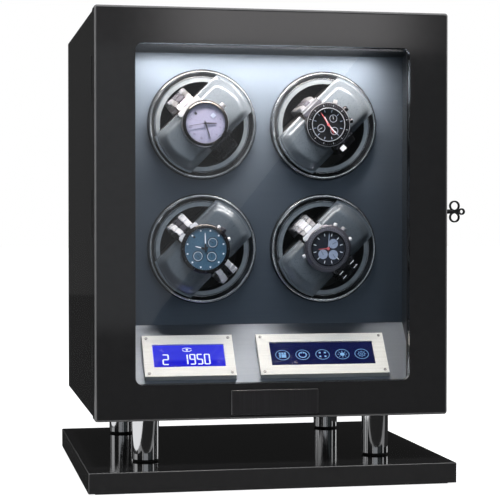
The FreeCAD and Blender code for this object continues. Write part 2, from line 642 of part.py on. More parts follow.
def make_carrier():
    plate = box("carrier_plate", ("-carrier_w / 2", "carrier_w / 2"),
                ("carrier_y", "carrier_back_y"), ("carrier_low", "carrier_high"))
    through = ("carrier_y - 1", "carrier_back_y + 1")
    holes = [rod("bush_hole_" + which, "Y", "bush_r", *through, spot)
             for which, spot in ROTORS.items()]
    holes += [rod("motor_hole_" + side, "Y", "motor_boss_r", *through, (x, "rotor_mid_z"))
              for side, x in (("left", "-rotor_x"), ("right", "rotor_x"))]
    node("motor_carrier", cut("carrier_cut", plate, holes))
    posts = [rod("post_%d" % index, "Y", "post_r", "fascia_back_y", "carrier_y", (x, z))
             for index, (x, z) in enumerate((x, z) for x in ("-post_x", "0", "post_x")
                                            for z in ("post_low", "post_high"))]
    node("carrier_posts", group("posts", posts))
    bush = turned("bush_blank", [
        ("shaft_r + shaft_play", "carrier_front + bush_flange"),
        ("hub_r", "carrier_front + bush_flange"), ("hub_r", "carrier_front"),
        ("bush_r", "carrier_front"), ("bush_r", "carrier_front - bush_barrel"),
        ("shaft_r + shaft_play", "carrier_front - bush_barrel")])
    node("rotor_bushes", group("bushes", [
        placed("bush_" + which, bush, *spot) for which, spot in ROTORS.items()]))


def make_motors():
    """Two geared motors; each pinion drives the two rotors of its column."""
    back = "carrier_front - carrier_thick"
    reach = "motor_shaft_in"
    body = turned("motor_blank", [
        ("pinion_shaft_r + shaft_play", "carrier_front"), ("motor_boss_r", "carrier_front"),
        ("motor_boss_r", back), ("motor_r", back), ("motor_r", back + " - gearbox_h"),
        ("motor_can_r", back + " - gearbox_h"),
        ("motor_can_r", back + " - gearbox_h - motor_can_h"),
        ("0", back + " - gearbox_h - motor_can_h"), ("0", "%s - %s - 1" % (back, reach)),
        ("pinion_shaft_r + shaft_play", "%s - %s - 1" % (back, reach))])
    low = size("gear_front") - (size("gear_face") + size("pinion_face")) / 2
    teeth = int(size("pinion_teeth"))
    wheel = gear_teeth("pinion_wheel", teeth, 0, low, low + size("pinion_face"),
                       -((teeth / 4) % 1))
    axle = doc.addObject("Part::Cylinder", "pinion_axle")
    end = "carrier_front - carrier_thick - %s" % reach
    bind(axle, Radius="pinion_shaft_r", Height="%s - (%s)" % (low, end), Placement_Base_z=end)
    blank = fuse("pinion_blank", [wheel, axle])
    for side, x in (("left", "-rotor_x"), ("right", "rotor_x")):
        node("gear_motor_" + side, placed("motor_" + side, body, x, "rotor_mid_z"))
        node("pinion_" + side, placed("pinion_" + side, blank, x, "rotor_mid_z"))



# ---------------------------------------------------------------- holders and watches
CROSSWISE = 45.0  # the holders lie from lower left to upper right
WATCHES = {  # half width of the closed bracelet and its corner radius
    "upper_left": (34.0, 22.0), "upper_right": (27.0, 10.0),
    "lower_left": (34.0, 22.0), "lower_right": (32.5, 20.0),
}


def make_holders():
    """Bar-shaped holder: two wings over the rim and a narrower body inside the cup."""
    half = ("-wing_w / 2", "wing_w / 2")
    back = "bezel_h + wing_gap"
    wings = common(
        "wing_round",
        box("wing_bar", ("-wing_r", "wing_r"), half, (back, "wing_front")),
        rod("wing_disc", "Z", "wing_r", back + " - 1", "wing_front + 1", ("0", "0")))
    crown = rod("wing_crown_drum", "X", "wing_crown", "-wing_r - 1", "wing_r + 1",
                ("0", "wing_front - wing_crown"))
    body = common(
        "pad_round",
        box("pad_bar", ("-wing_r", "wing_r"), half, ("wing_rear", back)),
        rod("pad_disc", "Z", "cup_r - holder_play", "wing_rear - 1", back + " + 1", ("0", "0")))
    blank = fuse("holder_blank", [common("wing_crowned", wings, crown), body])
    for which, spot in ROTORS.items():
        node("watch_holder_" + which, placed("pad_" + which, blank, *spot, turn=CROSSWISE))


def strap_block(name, half, corner, inset):
    """A rounded block across the holder, smaller by inset all round."""
    block = box(name, ("-strap_w / 2 - %s" % inset, "strap_w / 2 + %s" % inset),
                ("%s - %s" % (inset, half), "%s - %s" % (half, inset)),
                ("strap_mid - strap_depth + %s" % inset, "strap_mid + strap_depth - %s" % inset))
    doc.recompute()
    made = doc.addObject("Part::Fillet", name + "_rounded")
    made.Base = block
    made.Edges = [(i, corner - inset, corner - inset) for i, e in enumerate(block.Shape.Edges, 1)
                  if abs(e.tangentAt(e.FirstParameter).x) > 0.99]
    return made


def make_watches():
    for which, (half, corner) in WATCHES.items():
        case_low = "wing_front + watch_play"
        loop = cut("strap_" + which, strap_block("strap_out_" + which, half, corner, 0),
                   [strap_block("strap_in_" + which, half, corner, size("strap_thick"))])
        case = rod("case_" + which, "Z", "case_r", case_low, case_low + " + case_h", ("0", "0"))
        glass = rod("crystal_" + which, "Z", "crystal_r", case_low + " + case_h",
                    case_low + " + case_h + crystal_h", ("0", "0"))
        crown = rod("crown_" + which, "X", "crown_r", "case_r - crown_reach",
                    "case_r + crown_reach", ("0", case_low + " + case_h / 2"))
        blank = fuse("watch_blank_" + which, [loop, case, glass, crown])
        node("watch_" + which, placed("wrist_" + which, blank, *ROTORS[which], turn=CROSSWISE))


# ---------------------------------------------------------------- door
def make_door():
    slab = padded("door_slab", "XZ_Plane", [
        ("-door_w / 2", "door_low"), ("door_w / 2", "door_low"),
        ("door_w / 2", "door_top"), ("-door_w / 2", "door_top")], "door_thick")
    bind(slab, Placement_Base_y="door_back_y")
    front = rounded("door_front_eased", slab, "door_round",
                    lambda e, m: not is_near(m.y, "door_back_y"))
    eased = rounded("door_back_eased", front, "door_back_round",
                    lambda e, m: is_near(m.y, "door_back_y"))
    tall = ("window_z", "window_z + window_h")
    side = ("-window_w / 2", "window_w / 2")
    window = rounded("window_cut", box("window_block", side, ("door_front_y - 1", "door_back_y + 1"),
                                       tall), "window_round",
                     lambda e, m: abs(e.tangentAt(e.FirstParameter).y) > 0.99)
    wide = ("-window_w / 2 - rebate", "window_w / 2 + rebate")
    high = ("window_z - rebate", "window_z + window_h + rebate")
    rebate = box("rebate_block", wide, ("glass_front_y", "door_back_y + 1"), high)
    striker_bed = box("striker_bed", ("bay_x + striker_skin - striker_foot_in", STRIKER_END),
                      ("door_back_y - striker_plate", "door_back_y + 1"), STRIKER_Z)
    pockets = leaf_pockets("door", ("door_back_y - hinge_leaf", "door_back_y + 1"),
                           ("hinge_y - hinge_knuckle_dia / 2 - knuckle_room", "door_back_y + 1"))
    node("door_frame", cut("door_cut", eased, [window, rebate, striker_bed] + pockets))
    fit_x = ("glass_play - window_w / 2 - rebate", "window_w / 2 + rebate - glass_play")
    fit_z = ("window_z - rebate + glass_play", "window_z + window_h + rebate - glass_play")
    node("door_glass", box("glass_sheet", fit_x, ("glass_front_y", "glass_back_y"), fit_z))
    bead = ("glass_back_y", "glass_back_y + retainer_thick")
    ring = box("retainer_slab", fit_x, bead, fit_z)
    hole = box("retainer_hole", side, ("glass_back_y - 1", "glass_back_y + retainer_thick + 1"), tall)
    node("glass_retainer", cut("retainer_cut", ring, [hole]))
    plate = box("plate_blank", ("-name_plate_w / 2", "name_plate_w / 2"),
                ("door_front_y - name_plate_thick", "door_front_y"),
                ("window_z - name_plate_gap - name_plate_h", "window_z - name_plate_gap"))
    node("name_plate", plate)


STRIKER_END = "bay_x + striker_skin - striker_foot_in + striker_plate_w"
STRIKER_Z = ("lock_z - striker_plate_h / 2 + striker_rise",
             "lock_z + striker_plate_h / 2 + striker_rise")


def make_hinges():
    """Butt hinges let into the board and the door, their knuckles in the seam."""
    cabinet, door = [], []
    centre = ("hinge_axis_x", "hinge_y")
    sides = (("cabinet", cabinet, ("body_front_y", "body_front_y + hinge_leaf"), (0, 2, 4)),
             ("door", door, ("door_back_y - hinge_leaf", "door_back_y"), (1, 3)))
    for which, step in HINGES.items():
        low = "%s - hinge_len / 2" % hinge_z(step)
        for side, leaves, flat, own in sides:
            label = "%s_%s" % (side, which)
            clear = "hinge_axis_x + hinge_knuckle_dia / 2 + knuckle_room"
            pieces = [box("leaf_" + label, (clear, "hinge_axis_x + hinge_leaf_w"), flat,
                          (low, low + " + hinge_len"))]
            for slot in own:
                ends = ("%s + %d * hinge_len / 5 + knuckle_gap / 2" % (low, slot),
                        "%s + %d * hinge_len / 5 - knuckle_gap / 2" % (low, slot + 1))
                pieces.append(box("web_%s_%d" % (label, slot), ("hinge_axis_x", clear), flat, ends))
                pieces.append(rod("knuckle_%s_%d" % (label, slot), "Z", "hinge_knuckle_dia / 2",
                                  *ends, centre))
            if side == "cabinet":
                bore = rod("bore_" + label, "Z", "hinge_pin_dia / 2 + hinge_play",
                           low + " - 1", low + " + hinge_len + 1", centre)
                leaves.append(cut("hinge_" + label, fuse("hinge_solid_" + label, pieces), [bore]))
            else:
                pieces.append(rod("pin_" + label, "Z", "hinge_pin_dia / 2", low,
                                  low + " + hinge_len", centre))
                leaves.append(fuse("hinge_" + label, pieces))
    node("hinge_leaves_cabinet", group("cabinet_leaves", cabinet))
    node("hinge_leaves_door", group("door_leaves", door))


# ---------------------------------------------------------------- lock and key
def make_lock():
    centre = ("lock_y", "lock_z")
    face = "body_x + barrel_flange_h"
    cam_x = ("inner_x - cam_gap - cam_thick", "inner_x - cam_gap")
    tube = fuse("barrel_solid", [
        rod("barrel_tube", "X", "barrel_r", "inner_x", "body_x", centre),
        rod("barrel_flange", "X", "barrel_flange_r", "body_x", face, centre)])
    bore = rod("barrel_bore", "X", "plug_r + plug_play", "inner_x - 1", face + " + 1", centre)
    node("lock_barrel", cut("barrel_cut", tube, [bore]))
    arm = box("cam_arm", cam_x, ("lock_y - cam_reach", "lock_y"),
              ("lock_z - cam_w / 2", "lock_z + cam_w / 2"))
    plug = rod("plug_rod", "X", "plug_r", cam_x[0], face, centre)
    slot = box("keyway", (face + " - key_in - 1", face + " + 1"),
               ("lock_y - key_thick / 2 - key_play", "lock_y + key_thick / 2 + key_play"),
               ("lock_z - key_high / 2 - key_play", "lock_z + key_high / 2 + key_play"))
    node("lock_plug", cut("plug_cut", fuse("plug_solid", [plug, arm]), [slot]))
    tab = box("striker_tab", ("striker_x", "striker_x + striker_thick"),
              ("door_back_y - striker_plate", "lock_y + cam_w / 2 + cam_gap + striker_lip"),
              ("lock_z + striker_rise", "lock_z + striker_rise + striker_h"))
    lip = box("striker_lip_bar", ("striker_x", "inner_x - striker_end_gap"),
              ("lock_y + cam_w / 2 + cam_gap", "lock_y + cam_w / 2 + cam_gap + striker_lip"),
              ("lock_z + striker_rise", "lock_z + striker_rise + striker_h"))
    foot = box("striker_foot", ("bay_x + striker_skin - striker_foot_in", STRIKER_END),
               ("door_back_y - striker_plate", "door_back_y"), STRIKER_Z)
    node("lock_striker", fuse("striker", [foot, tab, lip]))


def bow_ring(name, radius, x, z):
    """A flat ring of the key's bow, lying in the plane of the blade."""
    across = ("key_face_x + " + x, "lock_z + " + z)
    ends = ("lock_y - bow_thick / 2", "lock_y + bow_thick / 2")
    return (rod(name, "Y", radius, *ends, across),
            rod(name + "_hole", "Y", radius + " - bow_wire", ends[0] + " - 1", ends[1] + " + 1",
                across))


def make_key():
    blade = box("key_blade", ("key_face_x - key_in", "key_face_x + 0.5"),
                ("lock_y - key_thick / 2", "lock_y + key_thick / 2"),
                ("lock_z - key_high / 2", "lock_z + key_high / 2"))
    shank = rod("key_shank", "X", "shank_r", "key_face_x + 0.3", "key_face_x + bow_ring_x - 2",
                ("lock_y", "lock_z"))
    rings = [bow_ring("bow_upper", "bow_ring_r", "bow_ring_x", "bow_ring_spread"),
             bow_ring("bow_lower", "bow_ring_r", "bow_ring_x", "(-bow_ring_spread)"),
             bow_ring("bow_eye", "eye_r", "eye_x", "0")]
    web = rod("bow_web", "Y", "eye_r", "lock_y - bow_thick / 2", "lock_y + bow_thick / 2",
              ("key_face_x + bow_ring_x + 1", "lock_z"))
    solid = fuse("key_solid", [blade, shank, web] + [ring for ring, _ in rings])
    node("key", cut("key_cut", solid, [hole for _, hole in rings]))


# ---------------------------------------------------------------- electrics
def make_electrics():
    spot = ("socket_x", "socket_z")
    out = "body_rear_y + socket_flange_h"
    body = fuse("socket_solid", [
        rod("socket_body", "Y", "socket_r", "body_rear_y - socket_len", "body_rear_y", spot),
        rod("socket_flange", "Y", "socket_flange_r", "body_rear_y", out, spot)])
    hole = cut("socket_ring", rod("socket_bore", "Y", "socket_bore_r", out + " - socket_bore_len",
                                  out + " + 1", spot),
               [rod("socket_pin", "Y", "socket_pin_r", out + " - socket_bore_len",
                    out + " - 1", spot)])
    node("dc_socket", cut("socket_cut", body, [hole]))
    deck = "floor_z + pillar_h"
    rear = "pcb_front_y + pcb_d"
    pieces = [box("board_blank", ("-pcb_w / 2", "pcb_w / 2"), ("pcb_front_y", rear),
                  (deck, deck + " + pcb_thick"))]
    for index in range(4):
        x = ("pillar_inset - pcb_w / 2", "pcb_w / 2 - pillar_inset")[index % 2]
        y = ("pcb_front_y + pillar_inset", rear + " - pillar_inset")[index // 2]
        pieces.append(rod("pillar_%d" % index, "Z", "pillar_r", "floor_z", deck, (x, y)))
    top = deck + " + pcb_thick"
    for label, x, y, tall in (("processor", (-12, 4), (24, 40), 2.0),
                              ("driver_left", (-40, -28), (20, 34), 3.0),
                              ("driver_right", (20, 32), (20, 34), 3.0),
                              ("supply_choke", (30, 44), (48, 62), 9.0),
                              ("harness_header", (-44, -8), (60, 68), 7.0)):
        pieces.append(box(label, x, ("pcb_front_y + %d" % y[0], "pcb_front_y + %d" % y[1]),
                          (top, "%s + %s" % (top, tall))))
    node("control_board", fuse("board_unit", pieces))


# ---------------------------------------------------------------- build, test and write
for make in (make_base, make_boards, make_back, make_lining, make_console, make_bezel_rings,
             make_cups, make_carrier, make_motors, make_holders, make_watches, make_door,
             make_hinges, make_lock, make_key, make_electrics):
    make()
places.clear("D1")
doc.recompute()

faults = [o.Label for o in doc.Objects if "Invalid" in o.State or "Error" in o.State]
for name, piece in PARTS.items():
    if piece.Shape.isNull() or not piece.Shape.isValid() or not piece.Shape.Solids:
        faults.append(name)
if faults:
    raise RuntimeError("not sound: " + ", ".join(faults))

os.makedirs("parts", exist_ok=True)
for name, piece in PARTS.items():
    piece.Shape.exportStep("parts/%s.step" % name)
    corner = piece.Shape.BoundBox
    print("%-24s %2d solids %10.0f mm3  x %.1f %.1f  y %.1f %.1f  z %.1f %.1f" % (
        name, len(piece.Shape.Solids), piece.Shape.Volume, corner.XMin, corner.XMax,
        corner.YMin, corner.YMax, corner.ZMin, corner.ZMax))
print(len(PARTS), "sub-parts")
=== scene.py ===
# %% [markdown]
# # A watch winder box, dressed in Blender
# The box is a lacquered cabinet on four chrome legs. Behind its glass door four geared rotors
# turn wrist watches, and a sloped console holds a display and a row of touch keys. The solids
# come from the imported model, which stays as it is. This script gives every solid a finish and
# swaps the plain ones, such as the watches, for detailed pieces in the same place.

# %% Load the fixed frame
import json
from math import asin, atan2, cos, degrees, radians, sin, sqrt, tau

import bmesh
import bpy
from mathutils import Matrix, Vector


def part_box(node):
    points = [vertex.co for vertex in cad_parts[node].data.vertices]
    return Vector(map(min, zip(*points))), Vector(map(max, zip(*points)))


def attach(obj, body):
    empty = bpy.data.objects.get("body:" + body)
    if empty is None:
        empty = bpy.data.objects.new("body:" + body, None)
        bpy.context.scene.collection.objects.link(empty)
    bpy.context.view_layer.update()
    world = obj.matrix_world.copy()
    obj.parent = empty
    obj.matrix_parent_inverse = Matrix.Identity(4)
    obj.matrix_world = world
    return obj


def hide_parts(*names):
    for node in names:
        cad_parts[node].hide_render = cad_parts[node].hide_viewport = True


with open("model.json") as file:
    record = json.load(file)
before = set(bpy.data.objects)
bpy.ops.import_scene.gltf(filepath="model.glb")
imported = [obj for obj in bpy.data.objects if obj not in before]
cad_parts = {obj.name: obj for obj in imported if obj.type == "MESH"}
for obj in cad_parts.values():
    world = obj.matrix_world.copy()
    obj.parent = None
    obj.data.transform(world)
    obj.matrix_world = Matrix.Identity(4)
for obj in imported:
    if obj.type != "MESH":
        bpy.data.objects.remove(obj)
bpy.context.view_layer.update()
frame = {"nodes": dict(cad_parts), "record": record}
nodes = frame["nodes"]
CORNERS = ("upper_left", "upper_right", "lower_left", "lower_right")
MM = 0.001

# %% [markdown]
# ## Helpers
# Colours are written as the hex values a designer would read off a swatch. Blender's shaders
# work in linear light, so one function turns them. Another adds a node to any tree, for
# materials and for Geometry Nodes alike: its settings are the node's own properties or its
# inputs' values, and its links say which output feeds which input. A third puts new data in
# the scene.

# %% Colours and nodes
def linear(hex_colour, alpha=1.0):
    """An sRGB hex colour as the linear RGBA that shaders expect."""
    parts = [int(hex_colour[i : i + 2], 16) / 255 for i in (1, 3, 5)]
    parts = [c / 12.92 if c <= 0.04045 else ((c + 0.055) / 1.055) ** 2.4 for c in parts]
    return (*parts, alpha)


def add(tree, kind, settings=None, links=None):
    """Adds one node, with its settings and the links that feed it."""
    made = tree.nodes.new(kind)
    for key, value in (settings or {}).items():
        if isinstance(key, str) and hasattr(made, key):
            setattr(made, key, value)
        else:
            made.inputs[key].default_value = value
    for key, (node, output) in (links or {}).items():
        tree.links.new(node.outputs[output], made.inputs[key])
    return made


def placed(name, data):
    """A new object in the scene, made from some data."""
    made = bpy.data.objects.new(name, data)
    bpy.context.scene.collection.objects.link(made)
    return made


print("white is", [round(c, 3) for c in linear("#FFFFFF")])

# %% [markdown]
# ## Meshes made in code
# Most small parts of a watch or a bezel are turned on a lathe or cut from sheet, so two
# helpers cover them: one spins a profile round an axis, the other gives an outline a
# thickness. They collect into one mesh, where each part keeps its own finish.

# %% Lathe, plate and finished pieces
class Shape:
    """Collects parts in one mesh. Lengths are in millimetres until the shape is placed."""

    def __init__(self):
        self.mesh = bmesh.new()
        self.finishes = []

    def part(self, rows, faces, finish, move=None):
        """Adds vertices and faces with one finish, moved by a matrix."""
        if finish not in self.finishes:
            self.finishes.append(finish)
        made = [self.mesh.verts.new(move @ Vector(v) if move else Vector(v)) for v in rows]
        new = [self.mesh.faces.new([made[i] for i in f]) for f in faces]
        for face in new:
            face.material_index = self.finishes.index(finish)
        bmesh.ops.recalc_face_normals(self.mesh, faces=new)
        return made, new

    def lathe(self, profile, finish, steps=64, move=None):
        """Spins a closed loop of (radius, height) points. A radius of 0 closes at a pole."""
        rows, index = [], []
        for radius, height in profile:
            if radius < 1e-6:
                index.append([len(rows)] * steps)
                rows.append((0, 0, height))
            else:
                index.append(list(range(len(rows), len(rows) + steps)))
                rows += [
                    (radius * cos(tau * k / steps), radius * sin(tau * k / steps), height)
                    for k in range(steps)
                ]
        faces = []
        for a, b in zip(index, index[1:] + index[:1]):
            for k in range(steps):
                loop = [a[k], a[(k + 1) % steps], b[(k + 1) % steps], b[k]]
                loop = [v for n, v in enumerate(loop) if v not in loop[:n]]
                if len(loop) > 2:
                    faces.append(loop)
        return self.part(rows, faces, finish, move)

    def ring(self, inner, outer, low, high, finish, steps=64, move=None):
        """A flat ring, or a disc where its inner radius is 0."""
        return self.lathe([(inner, low), (outer, low), (outer, high), (inner, high)], finish, steps, move)

    def plate(self, outline, low, high, finish, move=None, edge=0.0):
        """Gives a flat outline a thickness from low to high, with a small bevel on top."""
        centre = Vector((sum(p[0] for p in outline), sum(p[1] for p in outline))) / len(outline)
        levels = [(low, 0.0), (high - edge, 0.0)] + ([(high, edge)] if edge else [])
        rows = []
        for height, inset in levels:
            for point in outline:
                out = Vector(point) - centre
                out *= 1 - inset / max(out.length, inset * 1.01 or 1)
                rows.append((centre.x + out.x, centre.y + out.y, height))
        n, top = len(outline), (len(levels) - 1) * len(outline)
        faces = [list(range(n)), list(range(top, top + n))]
        for level in range(len(levels) - 1):
            for k in range(n):
                a = level * n
                faces.append([a + k, a + (k + 1) % n, a + n + (k + 1) % n, a + n + k])
        return self.part(rows, faces, finish, move)

    def block(self, size, finish, move=None, bevel=0.0, segments=2):
        """A block with rounded edges, centred on its place."""
        halves = [s / 2 for s in size]
        signs = [(x, y, z) for x in (-1, 1) for y in (-1, 1) for z in (-1, 1)]
        rows = [tuple(h * s for h, s in zip(halves, sign)) for sign in signs]
        sides = [(0, 1, 3, 2), (4, 6, 7, 5), (0, 4, 5, 1), (2, 3, 7, 6), (0, 2, 6, 4), (1, 5, 7, 3)]
        made, new = self.part(rows, sides, finish, move)
        if bevel:
            edges = list({e for f in new for e in f.edges})
            bmesh.ops.bevel(
                self.mesh, geom=edges, offset=bevel, segments=segments, affect="EDGES",
                material=self.finishes.index(finish),
            )

    def finish(self, name, body, slot, place=None, stands_for=(), smooth=32):
        """Turns the shape into a finished object at the origin that rides on its body."""
        data = bpy.data.meshes.new(name)
        self.mesh.to_mesh(data)
        self.mesh.free()
        return finished(name, data, self.finishes, body, place, stands_for, smooth)


def finished(name, data, finishes, body, place=None, stands_for=(), smooth=32):
    """Places a mesh, gives it its finishes and joins it to its body."""
    scale = Matrix.Scale(MM, 4)
    data.transform((place or Matrix.Identity(4)) @ scale)
    for finish in finishes:
        data.materials.append(finish)
    data.shade_smooth()
    data.set_sharp_from_angle(angle=radians(smooth))
    piece = placed(name, data)
    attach(piece, body)
    if stands_for:
        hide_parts(*stands_for)
    print(name, len(data.polygons), "faces on", body)
    return piece


def turned(angle):
    """A turn about the upright axis of a piece."""
    return Matrix.Rotation(angle, 4, "Z")


def moved(x=0.0, y=0.0, z=0.0):
    """A shift, in the piece's own millimetres."""
    return Matrix.Translation((x, y, z))


def box_of(node):
    """A CAD node's box in millimetres: lowest corner and highest corner."""
    low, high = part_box(node)
    return low / MM, high / MM


print("door frame", [tuple(round(v, 1) for v in corner) for corner in box_of("door_frame")])

# %% [markdown]
# ## Camera
# A long lens from about one and a half metres keeps the box's edges almost parallel, as in a
# catalogue picture. The camera stands left of the door and a little over half way up.

# %% Camera
LENS_MM = 114.26
EYE = (-0.2726, -1.4255, 0.2226)
LOOK = (radians(88.97), 0.0, radians(-11.03))
camera_data = bpy.data.cameras.new("catalogue_camera")
camera_data.lens = LENS_MM
camera_data.sensor_width = 36.0
camera = bpy.data.objects.new("catalogue_camera", camera_data)
camera.location, camera.rotation_euler = EYE, LOOK
bpy.context.scene.collection.objects.link(camera)
bpy.context.scene.camera = camera
bpy.context.scene.view_settings.view_transform = "Standard"
print("camera", EYE, "lens", LENS_MM)

# %% [markdown]
# ## Studio
# Black lacquer shows what stands around it rather than its own colour. A studio sets
# dark cards round such an object, and one or two bright ones where a highlight should fall.
# The cards here are seen by mirror-like rays only, so they give the lacquer, chrome and glass
# something to reflect while the background stays white from every side.

# %% World, lamps and floor
SKY = 0.14
world = bpy.data.worlds.new("white_studio")
bpy.context.scene.world = world
world.use_nodes = True
tree = world.node_tree
tree.nodes.clear()
path = add(tree, "ShaderNodeLightPath")
mirror_or_eye = add(
    tree, "ShaderNodeMath", {"operation": "MAXIMUM"},
    {0: (path, "Is Camera Ray"), 1: (path, "Is Glossy Ray")},
)
seen = add(
    tree, "ShaderNodeMath", {"operation": "MAXIMUM"},
    {0: (mirror_or_eye, 0), 1: (path, "Is Transmission Ray")},
)
level = add(tree, "ShaderNodeMapRange", {"To Min": SKY, "To Max": 1.0}, {"Value": (seen, 0)})
sky = add(tree, "ShaderNodeBackground", {"Color": (1, 1, 1, 1)}, {"Strength": (level, 0)})
add(tree, "ShaderNodeOutputWorld", {}, {"Surface": (sky, 0)})


def lamp(name, place, aim, size, power, colour="#FFFFFF"):
    """A soft square lamp that points at aim."""
    data = bpy.data.lights.new(name, "AREA")
    data.shape, data.size, data.energy = "SQUARE", size, power
    data.color = linear(colour)[:3]
    made = bpy.data.objects.new(name, data)
    made.location = place
    made.rotation_euler = (Vector(aim) - Vector(place)).to_track_quat("-Z", "Y").to_euler()
    made.visible_glossy = False
    bpy.context.scene.collection.objects.link(made)
    return made


lamp("key_softbox", (-1.1, -1.5, 1.5), (0, 0, 0.2), 1.2, 2)
lamp("fill_softbox", (1.4, -1.2, 1.0), (0, 0, 0.2), 1.2, 4)
lamp("console_softbox", (-0.12, -0.75, 1.14), (0, -0.095, 0.11), 0.3, 10)
lamp("top_softbox", (0, 0.6, 1.9), (0, 0, 0.2), 1.4, 9)


def glow(name, colour, strength):
    """Plain light for a studio card."""
    made = bpy.data.materials.new(name)
    made.use_nodes = True
    made.node_tree.nodes.clear()
    light = add(made.node_tree, "ShaderNodeEmission", {"Color": linear(colour), "Strength": strength})
    add(made.node_tree, "ShaderNodeOutputMaterial", {}, {"Surface": (light, 0)})
    return made


floor_paint = bpy.data.materials.new("white_floor_paint")
floor_paint.use_nodes = True
tree = floor_paint.node_tree
tree.nodes.clear()
path = add(tree, "ShaderNodeLightPath")
seen = add(
    tree, "ShaderNodeMath", {"operation": "MAXIMUM"},
    {0: (path, "Is Camera Ray"), 1: (path, "Is Transmission Ray")},
)
lift = add(tree, "ShaderNodeMath", {"operation": "MULTIPLY", 1: 0.95}, {0: (seen, 0)})
lifted = add(tree, "ShaderNodeEmission", {"Color": (1, 1, 1, 1)}, {"Strength": (lift, 0)})
paint = add(tree, "ShaderNodeBsdfDiffuse", {"Color": linear("#E4E4E4")})
both = add(tree, "ShaderNodeAddShader", {}, {0: (lifted, 0), 1: (paint, 0)})
add(tree, "ShaderNodeOutputMaterial", {}, {"Surface": (both, 0)})


def mirrored_only(made):
    """Lets only mirror-like rays see a studio surface."""
    made.visible_camera = made.visible_diffuse = False
    made.visible_shadow = made.visible_transmission = False


def card(name, corners, material, mirror_only=True):
    """A flat studio surface. Cards are seen by mirror-like rays only."""
    data = bpy.data.meshes.new(name)
    data.from_pydata(corners, [], [list(range(len(corners)))])
    data.materials.append(material)
    made = placed(name, data)
    if mirror_only:
        mirrored_only(made)
    return made


def flat(left, right, near, far, height):
    """The four corners of a level sheet."""
    return [(left, near, height), (right, near, height), (right, far, height), (left, far, height)]


FLOOR = 12.0
card("studio_floor", flat(-FLOOR, FLOOR, -FLOOR, FLOOR, 0), floor_paint, False)

# %% [markdown]
# The front card hangs behind the camera. Its lighter half ends in a slanted edge, which draws
# a diagonal across the pane. A bright strip above it fades to both sides and falls only on the
# door's top rail.

# %% Reflector cards
CARD_Y, CARD_LEFT, CARD_RIGHT, CARD_FOOT, CARD_TOP, STRIP_TOP = -2.1, -0.9, 1.9, -0.6, 0.585, 0.95
SLANT = [(-0.187, CARD_FOOT), (0.174, 0.039), (0.358, 0.268), (0.611, CARD_TOP)]


def front(points):
    """Puts an outline across and up on the plane of the front card."""
    return [(x, CARD_Y, z) for x, z in points]


lighter = front([(CARD_LEFT, CARD_FOOT), *SLANT, (CARD_LEFT, CARD_TOP)])
darker = front([SLANT[0], (CARD_RIGHT, CARD_FOOT), (CARD_RIGHT, CARD_TOP), *SLANT[:0:-1]])
card("lighter_card", lighter, glow("soft_grey_card", "#EDF1F5", 0.62))
card("darker_card", darker, glow("dark_grey_card", "#DDEBEF", 0.07))

strip = bpy.data.materials.new("warm_strip_light")
strip.use_nodes = True
tree = strip.node_tree
tree.nodes.clear()
spot = add(tree, "ShaderNodeTexCoord")
split = add(tree, "ShaderNodeSeparateXYZ", {}, {0: (spot, "Object")})
rise = add(
    tree, "ShaderNodeMapRange", {"interpolation_type": "SMOOTHERSTEP", "From Min": 0.06, "From Max": 0.32},
    {"Value": (split, 0)},
)
fall = add(
    tree, "ShaderNodeMapRange", {"interpolation_type": "SMOOTHERSTEP", "From Min": 0.82, "From Max": 0.58},
    {"Value": (split, 0)},
)
shape = add(tree, "ShaderNodeMath", {"operation": "MULTIPLY"}, {0: (rise, 0), 1: (fall, 0)})
power = add(tree, "ShaderNodeMath", {"operation": "MULTIPLY_ADD", 1: 2.7, 2: 0.27}, {0: (shape, 0)})
light = add(tree, "ShaderNodeEmission", {"Color": linear("#FFFCFD")}, {"Strength": (power, 0)})
add(tree, "ShaderNodeOutputMaterial", {}, {"Surface": (light, 0)})
card(
    "top_strip",
    front([(CARD_LEFT, CARD_TOP), (CARD_RIGHT, CARD_TOP), (CARD_RIGHT, STRIP_TOP), (CARD_LEFT, STRIP_TOP)]),
    strip,
)

# a bright card high in front draws the fine lines along edges that face up
card("overhead_card", flat(-1.0, 1.0, -1.7, -1.0, 1.5), glow("overhead_white", "#FFFFFF", 1.3))

# sheets on the floor, for what the left sides, the legs and the lower edges mirror
SHEET = 3.6
for name, near, far, level in (
    ("floor_behind", -0.142, SHEET, 0.025), ("floor_at_the_plate", -0.26, -0.142, 0.24),
    ("floor_before_the_legs", -0.6, -0.26, 0.02), ("floor_in_front", -SHEET, -0.6, 0.08),
):
    card(name, flat(-SHEET, SHEET, near, far, 0.0006), glow(name + "_grey", "#FFFFFF", level))

# a bright sheet beside the object, for the pale stripe down the left of each leg
card("floor_at_left", flat(-SHEET, -0.3, -0.8, 0.5, 0.0007), glow("floor_at_left_white", "#FFFFFF", 1.0))

# a dark tent with a few soft upright strips, for what the sides, legs and key mirror
TENT_RADIUS, TENT_HEIGHT, TENT_SIDES = 3.4, 3.0, 96
tent = bpy.data.meshes.new("dark_tent")
rim = [
    (TENT_RADIUS * sin(tau * k / TENT_SIDES), TENT_RADIUS * cos(tau * k / TENT_SIDES))
    for k in range(TENT_SIDES)
]
rows = [(x, y, z) for z in (0.001, TENT_HEIGHT) for x, y in rim] + [(0, 0, TENT_HEIGHT + 0.6)]
walls = [
    [k, (k + 1) % TENT_SIDES, TENT_SIDES + (k + 1) % TENT_SIDES, TENT_SIDES + k]
    for k in range(TENT_SIDES)
]
lid = [[TENT_SIDES + k, TENT_SIDES + (k + 1) % TENT_SIDES, 2 * TENT_SIDES] for k in range(TENT_SIDES)]
tent.from_pydata(rows, [], walls + lid)
